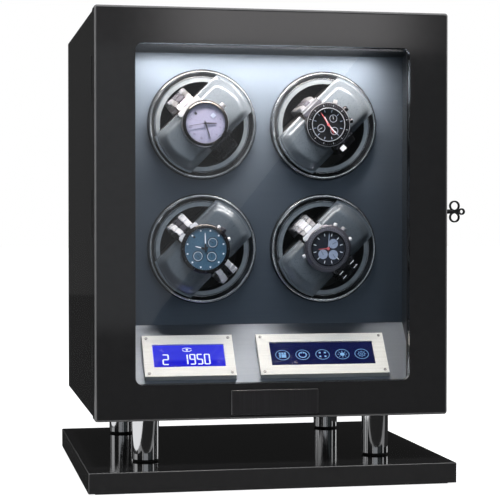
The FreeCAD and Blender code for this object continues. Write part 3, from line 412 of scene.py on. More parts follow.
# compass angles, counted from the back towards the right, where the tent is lighter
STRIPS = [
    (-6, 7, 0.04), (62, 16, 1.5), (118, 10, 0.8), (-52, 10, 0.5), (-84, 36, 0.8), (-150, 8, 0.7),
    (150, 8, 0.5),
]
TENT_DARK = 0.02
cloth = {}
for finish_level in sorted({TENT_DARK, *[s[2] for s in STRIPS]}):
    cloth[finish_level] = len(tent.materials)
    tent.materials.append(glow("tent_cloth_%g" % finish_level, "#FFFFFF", finish_level))
for face in tent.polygons:
    heading = degrees(atan2(face.center.x, face.center.y))
    lit = [s for s in STRIPS if abs((heading - s[0] + 180) % 360 - 180) < s[1] / 2]
    face.material_index = cloth[lit[0][2] if lit and face.index < TENT_SIDES else TENT_DARK]
tent_object = placed("dark_tent", tent)
mirrored_only(tent_object)

# %% [markdown]
# # Finishes
# Every finish starts from what the real surface is and how it was made. A helper makes the
# Principled shader; the pattern nodes round it differ from finish to finish. Patterns read
# Object coordinates in metres, so a scale of 1 / spacing gives lines at that real spacing.

# %% A finish and its pattern helpers
def new_finish(name, **settings):
    """A material with one Principled shader, and its coordinates. Settings are the shader's inputs."""
    made = bpy.data.materials.new(name)
    made.use_nodes = True
    tree = made.node_tree
    tree.nodes.clear()
    renamed = {key.replace("_", " "): value for key, value in settings.items()}
    shader = add(tree, "ShaderNodeBsdfPrincipled", renamed)
    add(tree, "ShaderNodeOutputMaterial", {}, {"Surface": (shader, 0)})
    place = add(tree, "ShaderNodeTexCoord")
    return made, tree, shader, place


def grain(tree, place, scale, detail=3.0, seed=0.0, distortion=0.0):
    """Noise stretched by a scale on each axis: lines where one axis is far finer."""
    mapping = add(
        tree, "ShaderNodeMapping", {"Scale": scale, "Location": (seed, seed, seed)},
        {"Vector": (place, "Object")},
    )
    settings = {"Scale": 1.0, "Detail": detail, "Distortion": distortion}
    return add(tree, "ShaderNodeTexNoise", settings, {"Vector": (mapping, 0)})


def drive(tree, shader, socket, source, low, high):
    """Maps a pattern's middle range to a range of a shader socket."""
    span = add(
        tree, "ShaderNodeMapRange", {"From Min": 0.3, "From Max": 0.7, "To Min": low, "To Max": high},
        {"Value": (source, 0)},
    )
    tree.links.new(span.outputs[0], shader.inputs[socket])


def tint(tree, shader, source, dark, light, low=0.3, high=0.7):
    """Colours a pattern between two swatches."""
    ramp = add(tree, "ShaderNodeValToRGB", {}, {"Fac": (source, 0)})
    ramp.color_ramp.elements[0].position, ramp.color_ramp.elements[1].position = low, high
    ramp.color_ramp.elements[0].color, ramp.color_ramp.elements[1].color = linear(dark), linear(light)
    tree.links.new(ramp.outputs[0], shader.inputs["Base Color"])
    return ramp


def relief(tree, shader, source, depth_mm, strength=1.0):
    """Raises a pattern by a real depth."""
    bump = add(
        tree, "ShaderNodeBump", {"Strength": strength, "Distance": depth_mm * MM}, {"Height": (source, 0)},
    )
    tree.links.new(bump.outputs[0], shader.inputs["Normal"])


def pale_edges(tree, shader, place, ramp, edge):
    """Paints a highlight on rounded edges: their colour turns paler where the normal leans away from the axes."""
    turned = add(tree, "ShaderNodeVectorMath", {"operation": "ABSOLUTE"}, {0: (place, "Normal")})
    parts = add(tree, "ShaderNodeSeparateXYZ", {}, {0: (turned, 0)})
    wide = add(tree, "ShaderNodeMath", {"operation": "MAXIMUM"}, {0: (parts, 0), 1: (parts, 1)})
    flat = add(tree, "ShaderNodeMath", {"operation": "MAXIMUM"}, {0: (wide, 0), 1: (parts, 2)})
    edge_highlight_amount = add(tree, "ShaderNodeMapRange", {"From Min": 0.985, "From Max": 0.86}, {"Value": (flat, 0)})
    factor, first, second, result = 0, 6, 7, 2
    blend = add(
        tree, "ShaderNodeMix", {"data_type": "RGBA", second: linear(edge)},
        {factor: (edge_highlight_amount, 0), first: (ramp, 0)},
    )
    tree.links.new(blend.outputs[result], shader.inputs["Base Color"])


FINISH = {}


def grained(
    key, name, scale, detail, dark, light, gloss=None, bump=None, distortion=0.0, edge=None, **settings,
):
    """A finish whose colour, gloss and relief all follow one fine grain."""
    made, tree, shader, place = new_finish(name, **settings)
    scale = scale if isinstance(scale, tuple) else (scale, scale, scale)
    fine = grain(tree, place, scale, detail, distortion=distortion)
    ramp = tint(tree, shader, fine, dark, light)
    # where an edge colour is given, rounded edges get it as a painted highlight
    if edge:
        pale_edges(tree, shader, place, ramp, edge)
    if gloss:
        drive(tree, shader, "Roughness", fine, *gloss)
    if bump:
        relief(tree, shader, fine, *bump)
    FINISH[key] = made
print("helpers for finishes are made")

# %% [markdown]
# ## Cabinet finishes
# The boards are fibreboard with many coats of black lacquer, rubbed down and polished. The
# coats level out, so only a slight orange peel of a few millimetres is left in the gloss. The
# laminate inside is a slate foil with a fine tooth. Hardboard, rubber and felt stay matt.
# A scale of 160 puts the grain about 6 mm apart, and 1500 puts it about 0.7 mm apart.

# %% Lacquer, laminate, hardboard, rubber, felt
# the paler edge colour, #7A7A7B, is a painted highlight along the lacquer's rounded edges
grained(
    "lacquer", "polished_black_lacquer", 160, 1.5, "#222223", "#242425", (0.06, 0.075), (0.002, 0.1),
    edge="#7A7A7B", IOR=1.5, Specular_IOR_Level=0.4,
)
grained(
    "liner", "slate_laminate", 700, 4, "#22272D", "#282E34", (0.34, 0.46), (0.02, 0.3),
    IOR=1.46, Specular_IOR_Level=0.4,
)
grained(
    "back_hardboard", "painted_hardboard", (420, 420, 160), 6, "#1C1C1D", "#29292A", (0.55, 0.7), (0.12, 0.5),
    distortion=0.4, Specular_IOR_Level=0.3,
)
grained(
    "glide", "moulded_rubber", 1500, 3, "#161617", "#222223", None, (0.03, 0.5),
    Roughness=0.7, Specular_IOR_Level=0.35,
)
grained(
    "felt", "needle_felt", 900, 8, "#141415", "#2C2C2E", None, (0.4, 0.8), distortion=1.2,
    Roughness=1.0, Specular_IOR_Level=0.1, Sheen_Weight=0.4, Sheen_Roughness=0.6,
)
grained(
    "retainer", "moulded_black_bead", 1200, 2, "#17181A", "#202124", None, (0.02, 0.4),
    Roughness=0.42, Specular_IOR_Level=0.4,
)
print("cabinet finishes", list(FINISH))

# %% [markdown]
# ## Metals
# Brushed sheet is drawn past an abrasive belt, so its scratches run one way. The fascia's
# scratches are far finer than the render can show: they are drawn about 0.8 mm apart, long
# across the sheet. Its grain spreads a reflection up and down, which the high roughness stands
# for. Chrome is a mirror with faint waves from polishing. The name plate is dark anodised metal
# with a faint upright grain, and nothing is engraved on it.

# %% Brushed sheets
def brushed(key, name, light, dark, roughness, spacing_mm, length_mm, metallic=1.0):
    """Sheet metal brushed across, with scratches of a given spacing and length."""
    fine, long = 1 / (spacing_mm * MM), 1 / (length_mm * MM)
    gloss = (roughness - 0.05, roughness + 0.05)
    grained(key, name, (long, fine, fine), 4, dark, light, gloss, (0.003, 0.4), Metallic=metallic)


brushed("fascia", "anodised_brushed_fascia", "#545F6D", "#4F5A68", 0.5, 0.8, 60, 0.85)
brushed("console", "anodised_brushed_console", "#868F9C", "#7E8794", 0.36, 0.8, 60, 0.95)
brushed("steel_plate", "long_grain_steel", "#FBFBF9", "#E9E9E7", 0.36, 0.5, 40, 0.35)
brushed("carrier_steel", "plated_motor_can", "#B4B4B2", "#9A9A98", 0.35, 0.5, 8)
print("brushed sheets", list(FINISH)[-4:])

# %% Plated and cast metals
made, tree, shader, place = new_finish("mirror_chrome_plate", Base_Color=linear("#D9DADC"), Metallic=1.0)
waves = grain(tree, place, (60, 60, 18), 1)
drive(tree, shader, "Roughness", waves, 0.04, 0.08)
relief(tree, shader, waves, 0.02, 0.2)
FINISH["chrome_tube"] = made

grained("zinc", "nickel_plated_zinc", 500, 3, "#8C8B89", "#A3A2A0", (0.2, 0.32), (0.01, 0.3), Metallic=1.0)
grained("key", "dark_nickel_key", 420, 3, "#4A4A4B", "#6E6E6F", (0.16, 0.3), (0.01, 0.3), Metallic=1.0)
grained("hinge", "black_plated_steel", 600, 2, "#1E1E1F", "#2B2B2C", Metallic=1.0, Roughness=0.35)
grained("bolt_steel", "zinc_plated_steel", 900, 3, "#9E9FA2", "#C2C3C6", (0.24, 0.36), Metallic=1.0)
# the paler edge colour, #9C9C9E, is a painted highlight along the plate's rounded edges
grained(
    "name_plate", "dark_anodised_plate", (1 / 0.0006, 400, 30), 3, "#3C3B3D", "#444345", (0.28, 0.36), (
        0.01, 0.4,
    ),
    edge="#9C9C9E", Metallic=0.7, Specular_IOR_Level=0.4,
)
print("metals added", len(FINISH))

# %% [markdown]
# ## Plastics and glass
# The rotor rings are smoked mouldings with a metallised lip, the holders a smoky silver one
# with a satin skin. The pane lets lamps and soft light straight through, as a thin sheet does,
# while the camera sees it bend and mirror a little.

# %% Mouldings
grained("ring", "smoked_ring_moulding", 90, 1, "#2A2E33", "#363B41", (0.13, 0.19), Metallic=0.55, IOR=1.5)
grained("ring_lip", "metallised_lip", 120, 1, "#C9CED4", "#DDE1E6", (0.16, 0.22), Metallic=1.0)
grained("flange", "silvered_cup_flange", 150, 2, "#868F98", "#959EA7", (0.3, 0.38), Metallic=0.8)
grained(
    "cup", "dark_cup_moulding", 300, 2, "#17181B", "#212327", (0.38, 0.5), (0.01, 0.3), Specular_IOR_Level=0.4,
)
grained(
    "holder", "satin_smoke_wing", 1500, 2, "#58616B", "#5A636D", (0.27, 0.29),
    Metallic=0.5, IOR=1.5, Coat_Weight=0.25, Coat_Roughness=0.12,
)
grained(
    "socket", "moulded_black_plastic", 1400, 3, "#151516", "#202022", (0.45, 0.6), (0.03, 0.5),
    Specular_IOR_Level=0.4,
)
grained("bush", "natural_acetal", 400, 3, "#DAD7CE", "#E8E6DF", (0.32, 0.42), Specular_IOR_Level=0.5)

# a circuit board's lacquer shows tracks and bare laminate with a sharp step between them
made, tree, shader, place = new_finish("green_circuit_board", Specular_IOR_Level=0.5, Roughness=0.3)
tracks = grain(tree, place, (900, 200, 900), 4)
tint(tree, shader, tracks, "#0F3A22", "#1B5A36", 0.45, 0.5)
FINISH["board"] = made
print("finishes", len(FINISH))


# %% Glass that lets lamps through
def clear(name, colour, ior, roughness):
    """Clear sheet. Lamps, soft light and mirrored rays pass straight through it."""
    made, tree, shader, _ = new_finish(
        name, Base_Color=linear(colour), IOR=ior, Roughness=roughness, Transmission_Weight=1.0,
    )
    path = add(tree, "ShaderNodeLightPath")
    first = add(
        tree, "ShaderNodeMath", {"operation": "MAXIMUM"},
        {0: (path, "Is Shadow Ray"), 1: (path, "Is Diffuse Ray")},
    )
    any_ray = add(
        tree, "ShaderNodeMath", {"operation": "MAXIMUM"}, {0: (first, 0), 1: (path, "Is Glossy Ray")},
    )
    through = add(tree, "ShaderNodeBsdfTransparent", {"Color": linear(colour)})
    mix = add(tree, "ShaderNodeMixShader", {}, {0: (any_ray, 0), 1: (shader, 0), 2: (through, 0)})
    output = next(n for n in tree.nodes if n.type == "OUTPUT_MATERIAL")
    tree.links.new(mix.outputs[0], output.inputs["Surface"])
    return made


FINISH["glass"] = clear("clear_float_glass", "#FCFEFF", 1.5, 0.0)
FINISH["crystal"] = clear("mineral_crystal", "#FCFDFF", 1.5, 0.0)
print("finishes with glass", len(FINISH))

# %% Lit surfaces
def lit(name, colour, strength, base="#101014", roughness=0.15):
    """A surface that gives off its own light behind a glossy face."""
    made, tree, shader, place = new_finish(
        name, Base_Color=linear(base), Roughness=roughness, Emission_Strength=strength,
    )
    shader.inputs["Emission Color"].default_value = linear(colour)
    return made, tree, shader, place


FINISH["led"], *_ = lit("white_light_chip", "#FFF6EA", 12.0, "#F0F0E8", 0.5)
FINISH["led_tape"], *_ = lit("white_light_tape", "#F2F7FF", 0.0, "#E8E8E4", 0.5)
FINISH["digit"], *_ = lit("display_segment", "#DDE6FF", 0.95, "#8080A0")
FINISH["icon"], *_ = lit("touch_key_glow", "#8FC4F2", 0.75, "#203050")
FINISH["icon_ring"], *_ = lit("touch_key_ring", "#7FAEDD", 0.6, "#203050")

# the display's backlight is brighter in its upper half
made, tree, shader, place = lit("backlit_display", "#1E1EE6", 0.9, "#05051C", 0.08)
split = add(tree, "ShaderNodeSeparateXYZ", {}, {0: (place, "Object")})
rise = add(
    tree, "ShaderNodeMapRange", {"interpolation_type": "SMOOTHSTEP", "From Min": 0.1045, "From Max": 0.1075},
    {"Value": (split, 2)},
)
ramp = add(tree, "ShaderNodeValToRGB", {}, {"Fac": (rise, 0)})
ramp.color_ramp.elements[0].color, ramp.color_ramp.elements[1].color = linear("#1414DC"), linear("#3A3EE8")
tree.links.new(ramp.outputs[0], shader.inputs["Emission Color"])
FINISH["lcd"] = made

made, tree, shader, place = lit("touch_pane", "#0E1650", 0.35, "#060A24", 0.06)
ink = grain(tree, place, (60, 60, 60), 2)
tint(tree, shader, ink, "#060A24", "#0A1034")
FINISH["touch"] = made
print("all finishes", len(FINISH))

# %% [markdown]
# ## Dressing the solids
# A CAD solid whose shape is already right only needs its finish. Each one takes the finish of
# the slot that the record gives it, which mostly has the same name.

# %% Give every CAD node its finish
SLOT_OF = {entry["node"]: entry["material_slot"] for entry in frame["record"]["subparts"]}
OTHER_FINISH = {
    "motor": "carrier_steel", "carrier": "socket", "led": "led_tape",
    "watch_steel": "zinc", "watch_black": "hinge",
}
for name, solid in nodes.items():
    slot = SLOT_OF[name]
    finish = FINISH["console" if name == "console_panel" else OTHER_FINISH.get(slot, slot)]
    solid.data.materials.clear()
    solid.data.materials.append(finish)
    for face in solid.data.polygons:
        face.material_index = 0
print("dressed", len(nodes), "solids")

# %% [markdown]
# ## What repeats
# Links, hour marks, key signs and light chips repeat by a rule, so Geometry Nodes place them. Each
# tree below is built once, with named inputs for its sizes, and is used by several pieces. A
# host object carries the modifier; its result is taken as a plain mesh and the host goes away.

# %% Geometry Nodes: run a tree
def new_tree(name, **inputs):
    """An empty Geometry Nodes tree with named inputs. Each input gives its socket type."""
    tree = bpy.data.node_groups.new(name, "GeometryNodeTree")
    for label, kind in inputs.items():
        tree.interface.new_socket(label.replace("_", " "), in_out="INPUT", socket_type="NodeSocket" + kind)
    tree.interface.new_socket("Geometry", in_out="OUTPUT", socket_type="NodeSocketGeometry")
    return tree, add(tree, "NodeGroupInput")


def grown(tree, **values):
    """Runs a tree and gives its result as a plain mesh."""
    host = placed(tree.name + "_host", bpy.data.meshes.new(tree.name))
    modifier = host.modifiers.new("repeat", "NODES")
    modifier.node_group = tree
    sockets = {i.name: i.identifier for i in tree.interface.items_tree if i.in_out == "INPUT"}
    for label, value in values.items():
        modifier[sockets[label.replace("_", " ")]] = value
    graph = bpy.context.evaluated_depsgraph_get()
    mesh = bpy.data.meshes.new_from_object(host.evaluated_get(graph), depsgraph=graph)
    bpy.data.objects.remove(host)
    return mesh


def ending(tree, inputs, source):
    """Realizes the instances, sets the finish and closes the tree."""
    real = add(tree, "GeometryNodeRealizeInstances", {}, {"Geometry": (source, 0)})
    painted = add(
        tree, "GeometryNodeSetMaterial", {}, {"Geometry": (real, 0), "Material": (inputs, "Finish")},
    )
    add(tree, "NodeGroupOutput", {}, {"Geometry": (painted, 0)})
    return tree


def pattern(name, shape):
    """A small shape, kept out of sight, that a tree repeats."""
    data = bpy.data.meshes.new(name)
    shape.mesh.to_mesh(data)
    shape.mesh.free()
    made = placed(name, data)
    PATTERNS.append(made)
    return made


PATTERNS = []
print("helpers for trees are made")

# %% A ring of marks, such as hour marks, minute ticks or the rays of a sign
tree, inputs = new_tree(
    "marks_round_a_dial", Mark="Object", Count="Int", Radius="Float", Height="Float", Start="Float",
    Finish="Material",
)
ring_points = add(
    tree, "GeometryNodeMeshCircle", {}, {"Vertices": (inputs, "Count"), "Radius": (inputs, "Radius")},
)
lift = add(tree, "ShaderNodeCombineXYZ", {}, {"Z": (inputs, "Height")})
spin = add(tree, "ShaderNodeCombineXYZ", {}, {"Z": (inputs, "Start")})
spun = add(
    tree, "GeometryNodeTransform", {},
    {"Geometry": (ring_points, 0), "Translation": (lift, 0), "Rotation": (spin, 0)},
)
spot = add(tree, "GeometryNodeInputPosition")
axes = add(tree, "ShaderNodeSeparateXYZ", {}, {0: (spot, 0)})
angle = add(tree, "ShaderNodeMath", {"operation": "ARCTAN2"}, {0: (axes, 1), 1: (axes, 0)})
facing = add(tree, "ShaderNodeCombineXYZ", {}, {"Z": (angle, 0)})
turn = add(tree, "FunctionNodeEulerToRotation", {}, {0: (facing, 0)})
mark = add(tree, "GeometryNodeObjectInfo", {}, {"Object": (inputs, "Mark")})
marks = add(
    tree, "GeometryNodeInstanceOnPoints", {},
    {"Points": (spun, 0), "Instance": (mark, "Geometry"), "Rotation": (turn, 0)},
)
MARKS = ending(tree, inputs, marks)
print("tree", tree.name, len(tree.nodes), "nodes")

# %% A row along a path, such as a bracelet's links
tree, inputs = new_tree(
    "links_along_a_path", Path="Object", Link="Object", Count="Int", Start="Float", End="Float",
    Taper="Float", Finish="Material",
)
path = add(tree, "GeometryNodeObjectInfo", {}, {"Object": (inputs, "Path")})
line = add(
    tree, "GeometryNodeTrimCurve", {"mode": "FACTOR"},
    {"Curve": (path, "Geometry"), 2: (inputs, "Start"), 3: (inputs, "End")},
)
points = add(
    tree, "GeometryNodeCurveToPoints", {"mode": "COUNT"}, {"Curve": (line, 0), "Count": (inputs, "Count")},
)
along = add(tree, "FunctionNodeAlignRotationToVector", {"axis": "Z"}, {"Vector": (points, "Tangent")})
level = add(
    tree, "FunctionNodeAlignRotationToVector", {"axis": "X", "pivot_axis": "Z", "Vector": (1, 0, 0)},
    {"Rotation": (along, 0)},
)
link = add(tree, "GeometryNodeObjectInfo", {}, {"Object": (inputs, "Link")})
index = add(tree, "GeometryNodeInputIndex")
last = add(tree, "ShaderNodeMath", {"operation": "SUBTRACT", 1: 1.0}, {0: (inputs, "Count")})
share = add(tree, "ShaderNodeMath", {"operation": "DIVIDE"}, {0: (index, 0), 1: (last, 0)})
middle = add(tree, "ShaderNodeMath", {"operation": "PINGPONG", 1: 0.5}, {0: (share, 0)})
width = add(
    tree, "ShaderNodeMapRange", {"From Min": 0.0, "From Max": 0.25, "To Max": 1.0},
    {"Value": (middle, 0), "To Min": (inputs, "Taper")},
)
size = add(tree, "ShaderNodeCombineXYZ", {"Y": 1.0, "Z": 1.0}, {"X": (width, 0)})
links = add(
    tree, "GeometryNodeInstanceOnPoints", {},
    {"Points": (points, 0), "Instance": (link, "Geometry"), "Rotation": (level, 0), "Scale": (size, 0)},
)
LINKS = ending(tree, inputs, links)
print("tree", tree.name, len(tree.nodes), "nodes")

# %% Rows and columns, such as the squares of a sign or the light chips
tree, inputs = new_tree(
    "rows_and_columns", Piece="Object", Width="Float", Height="Float", Columns="Int", Rows="Int",
    Leave_out="Int", Finish="Material",
)
grid = add(
    tree, "GeometryNodeMeshGrid", {},
    {
        "Size X": (inputs, "Width"), "Size Y": (inputs, "Height"), "Vertices X": (inputs, "Columns"),
        "Vertices Y": (inputs, "Rows"),
    },
)
index = add(tree, "GeometryNodeInputIndex")
gone = add(
    tree, "FunctionNodeCompare", {"data_type": "INT", "operation": "EQUAL"},
    {2: (index, 0), 3: (inputs, "Leave out")},
)
kept = add(
    tree, "GeometryNodeDeleteGeometry", {"domain": "POINT"}, {"Geometry": (grid, 0), "Selection": (gone, 0)},
)
piece = add(tree, "GeometryNodeObjectInfo", {}, {"Object": (inputs, "Piece")})
rows = add(tree, "GeometryNodeInstanceOnPoints", {}, {"Points": (kept, 0), "Instance": (piece, "Geometry")})
GRID = ending(tree, inputs, rows)
KEEP_ALL = -1
print("tree", tree.name, len(tree.nodes), "nodes")

# %% A profile swept round a circle, for turned rings
tree, inputs = new_tree(
    "profile_round_a_circle", Profile="Object", Radius="Float", Steps="Int", Finish="Material",
)
round_line = add(
    tree, "GeometryNodeCurvePrimitiveCircle", {},
    {"Resolution": (inputs, "Steps"), "Radius": (inputs, "Radius")},
)
outline = add(tree, "GeometryNodeObjectInfo", {}, {"Object": (inputs, "Profile")})
swept = add(
    tree, "GeometryNodeCurveToMesh", {}, {"Curve": (round_line, 0), "Profile Curve": (outline, "Geometry")},
)
SWEPT = ending(tree, inputs, swept)
print("trees", [g.name for g in bpy.data.node_groups])


# %% Curves for paths and profiles, and meshes from trees
def curve(name, points, closed=True):
    """A path through points in millimetres."""
    data = bpy.data.curves.new(name, "CURVE")
    data.dimensions = "3D"
    spline = data.splines.new("POLY")
    spline.points.add(len(points) - 1)
    for point, row in zip(spline.points, points):
        point.co = (*row, 1.0)
    spline.use_cyclic_u = closed
    made = placed(name, data)
    PATTERNS.append(made)
    return made


def include(shape, mesh, finish, move=None):
    """Puts a tree's mesh into a shape."""
    shape.part([tuple(v.co) for v in mesh.vertices], [tuple(f.vertices) for f in mesh.polygons], finish, move)


print("helpers for curves are made")

# %% [markdown]
# ## Rotor rings
# Each rotor turns inside a fixed ring with a rounded, mirror-bright bead and a dark inner slope.
# The section is the same all round, so it is drawn once and swept round a circle.

# %% Rings round the rotors
RING_R, RING_STEPS = 47.0, 160
FASCIA_Y = box_of("fascia_panel")[0].y


def centre_of(which):
    """A rotor's centre across and up, from its ring."""
    low, high = box_of("bezel_ring_" + which)
    return (low.x + high.x) / 2, (low.z + high.z) / 2


def rotor_place(which, angle=0.0):
    """Rotor coordinates: across, up, and out towards the door, turned as the rotor is."""
    x, z = centre_of(which)
    axes = Matrix(((1, 0, 0, x), (0, 0, -1, FASCIA_Y), (0, 1, 0, z), (0, 0, 0, 1)))
    return Matrix.Scale(MM, 4) @ axes @ turned(angle) @ Matrix.Scale(1 / MM, 4)


BEAD_AT, BEAD_UP, BEAD_R = 45.05, 6.55, 1.35
INNER_AT, INNER_UP, INNER_R, INNER_STEPS = 40.8, 2.5, 0.36, 12
body = [(RING_R, 0.1), (RING_R, 4.6), (46.5, 5.4), (43.6, 5.6), (41.0, 2.6), (40.45, 2.2), (40.45, 0.1)]
bead = [
    (BEAD_AT + BEAD_R * cos(a), BEAD_UP + BEAD_R * sin(a))
    for a in [radians(v) for v in range(-40, 221, 20)]
]
turns = [tau * k / INNER_STEPS for k in range(INNER_STEPS)]
inner_bead = [(INNER_AT + INNER_R * cos(a), INNER_UP + INNER_R * sin(a)) for a in turns]
ring_parts = []
for name, profile, finish in (
    ("ring", body, "ring"), ("bead", bead, "ring_lip"), ("inner_bead", inner_bead, "ring_lip"),
):
    section = curve(name + "_section", [(r - RING_R, -h, 0) for r, h in profile])
    mesh = grown(SWEPT, Profile=section, Radius=RING_R, Steps=RING_STEPS, Finish=FINISH[finish])
    ring_parts.append((mesh, FINISH[finish]))
    print(name, "stands", round(max(v.co.z for v in mesh.vertices), 2), "mm high")
for which in CORNERS:
    ring = Shape()
    for mesh, finish in ring_parts:
        include(ring, mesh, finish)
    ring.finish("rotor_ring_" + which, "cabinet", "ring", rotor_place(which), ["bezel_ring_" + which], 40)

# %% [markdown]
# The cup behind each ring has a silvered front edge. The moulding is one piece with a dark
# inside, so its finish changes by height: the solid stays and two finishes share it.

# %% Silvered front edge of the cups
FLANGE_Y = FASCIA_Y * MM + 0.001
for which in CORNERS:
    cup = nodes["rotor_cup_" + which]
    cup.data.materials.append(FINISH["flange"])
    silvered = 0
    for face in cup.data.polygons:
        if face.center.y < FLANGE_Y:
            face.material_index = 1
            silvered += 1
print("silvered faces on each cup", silvered)

# %% [markdown]
# ## Watch holders
# A holder is a bar that snaps across its cup. Two wings lie over the ring's inner slope, each a
# shallow pillow: nearly flat in the middle, rounded down to a thin lip at its outer end. A grid
# of points with a height rule gives that shape better than a block with rounded edges.

# %% Holders with pillow wings
WING_R, WING_HALF, WING_TOP, WING_FOOT = 43.0, 21.5, 22.0, 9.6
LIP_W, LIP_DROP, PILLOW_DROP, PILLOW_SIDE, PILLOW_END = 1.9, 6.4, 5.2, 8.0, 8.5
HOLDER_TURN = radians(45)


def eased(t):
    t = min(max(t, 0.0), 1.0)
    return t * t * (3 - 2 * t)


def wing_height(a, b):
    """Height of a wing's skin at a point, a along the bar and b across it."""
    to_end = WING_R - LIP_W - sqrt(a * a + b * b)
    to_side = WING_HALF - abs(b)
    if to_end < 0:
        return WING_TOP - LIP_DROP
    rise = eased(to_end / PILLOW_END) ** 0.8 * (1 - (1 - eased(to_side / PILLOW_SIDE)) ** 2)
    return WING_TOP - PILLOW_DROP * (1 - rise) - 0.02 * b * b / 10


def wing(shape, side, finish, steps_across=44, steps_out=40, start=11.0):
    """One wing as a closed shell: its skin, a skirt round it and an underside."""
    rows, n, m = [], steps_across + 1, steps_out + 1
    for height_of in (wing_height, lambda a, b: WING_FOOT):
        for i in range(n):
            b = WING_HALF * (2 * i / steps_across - 1)
            far = sqrt(WING_R**2 - b * b)
            for j in range(m):
                t = 1 - (1 - j / steps_out) ** 1.6
                a = start + (far - start) * t
                rows.append((side * a, b, height_of(a, b)))
    top = lambda i, j: i * m + j
    under = lambda i, j: n * m + i * m + j
    faces = []
    for i in range(steps_across):
        for j in range(steps_out):
            for at in (top, under):
                faces.append([at(i, j), at(i + 1, j), at(i + 1, j + 1), at(i, j + 1)])
    edge = [(i, 0) for i in range(n)] + [(n - 1, j) for j in range(1, m)]
    edge += [(i, m - 1) for i in range(n - 2, -1, -1)] + [(0, j) for j in range(m - 2, 0, -1)]
    for (i, j), (k, l) in zip(edge, edge[1:] + edge[:1]):
        faces.append([top(i, j), top(k, l), under(k, l), under(i, j)])
    shape.part(rows, faces, finish)


def pad_outline(radius, half, steps=14):
    """The core's outline: a circle cut to the bar's width."""
    reach = asin(half / radius)
    arc = [reach * (2 * k / steps - 1) for k in range(steps + 1)]
    right = [(radius * cos(a), radius * sin(a)) for a in arc]
    return right + [(-x, -y) for x, y in right]


for which in CORNERS:
    holder = Shape()
    for side in (-1, 1):
        wing(holder, side, FINISH["holder"])
    holder.plate(pad_outline(36.0, WING_HALF), -24.3, 9.6, FINISH["socket"], edge=1.2)
    holder.plate(pad_outline(20.0, 9.0), 9.6, 21.8, FINISH["socket"], edge=1.0)
    holder.finish(
        "holder_" + which, "rotor_" + which, "holder", rotor_place(which, HOLDER_TURN),
        ["watch_holder_" + which], 42,
    )
print("holders", len(CORNERS))

# %% [markdown]
# ## Watches
# The four watches differ in dial, bezel and bracelet. Each is built from the same kinds of
# pieces: a turned case and bezel, a dial disc with marks, hands, a crown, a clear crystal and a
# bracelet. Their dials carry plain marks and numbers. Twelve o'clock points along local y,
# the crown along local x, and the whole watch is turned an eighth of a turn in its holder.

# %% Watch finishes
def solid_finish(name, dark, light, low, high, **settings):
    """A finish with a fine grain in its colour and its roughness."""
    grained(name, name, 800, 3, dark, light, (low, high), **settings)


solid_finish("watch_satin_steel", "#B9BBC4", "#CDCFD8", 0.28, 0.38, Metallic=0.85)
# near-white steel that stands for brightly lit steel: a painted highlight
solid_finish("watch_bright_steel", "#E6E8F2", "#F4F5FB", 0.34, 0.42, Metallic=0.35)
solid_finish("watch_grey_steel", "#55555F", "#62626E", 0.26, 0.36, Metallic=0.7)
# dark steel: the upper right watch's case and pushers, and painted shade on bracelet links and end links
solid_finish("watch_dark_steel", "#1B1B20", "#26262C", 0.22, 0.34, Metallic=0.6)
# black for the rims, also used as painted shade on some lower middle links
solid_finish("watch_black_rim", "#0C0C0F", "#15151A", 0.14, 0.24, Metallic=0.2)
solid_finish("watch_rubber", "#0D0D10", "#16161A", 0.5, 0.65, Specular_IOR_Level=0.35)
solid_finish("dial_lavender", "#77778C", "#7F7F94", 0.4, 0.5, Specular_IOR_Level=0.3)
solid_finish("dial_black", "#08080B", "#0F0F13", 0.3, 0.4, Specular_IOR_Level=0.3)
solid_finish("dial_teal", "#3E5E76", "#4C6C80", 0.32, 0.42, Specular_IOR_Level=0.35)
solid_finish("dial_slate", "#1E2029", "#272A34", 0.32, 0.42, Specular_IOR_Level=0.3)
solid_finish("dial_pale", "#98A2B8", "#A6B0C4", 0.4, 0.5)
solid_finish("dial_paint", "#F2F4FA", "#FFFFFF", 0.4, 0.5)
solid_finish("dial_ink", "#15151C", "#1E1E26", 0.4, 0.5)
solid_finish("dial_grey_ink", "#4C4C5E", "#545466", 0.4, 0.5)
solid_finish("hand_red", "#C8585C", "#D56A6C", 0.35, 0.45)
print("watch finishes", [k for k in FINISH if k.startswith(("watch", "dial", "hand"))])

# %% [markdown]
# A bracelet runs in a rounded loop round the holder's core. Its links are small rounded blocks
# that a tree sets along the loop, with the outer rows and the middle row as separate passes
# because they are polished differently. The two halves of a bracelet are separate passes as
# well: the lower halves and end links take darker copies of the steel, which is painted shade,
# and some links take a near-white copy, which is painted highlight. A rubber strap is one band
# swept along the same loop.

# %% Bracelets and straps
STRAP_THICK, STRAP_BACK, STRAP_FRONT = 3.5, -32.0, 30.0


def strap_loop(half, corner, steps=12):
    """The strap's middle line from the front centre over twelve o'clock and back round."""
    y, r = half - STRAP_THICK / 2, corner - STRAP_THICK / 2
    low, high = STRAP_BACK + STRAP_THICK / 2, STRAP_FRONT - STRAP_THICK / 2
    points = [(0, 0, high)]
    for cy, cz, start in (
        (y - r, high - r, 90), (y - r, low + r, 0), (r - y, low + r, -90), (r - y, high - r, -180),
    ):
        for k in range(steps + 1):
            a = radians(start - 90 * k / steps)
            points.append((0, cy + r * cos(a), cz + r * sin(a)))
    return points + [points[0]]


def length_of(points):
    return sum((Vector(a) - Vector(b)).length for a, b in zip(points, points[1:]))


def link_row(name, blocks, pitch, bevel=0.5):
    """A pattern for one row of links: blocks as (middle, width) across the strap."""
    row = Shape()
    for middle, wide in blocks:
        row.block((wide, STRAP_THICK - 0.3, pitch * 0.93), None, moved(x=middle), bevel)
    return pattern(name, row)


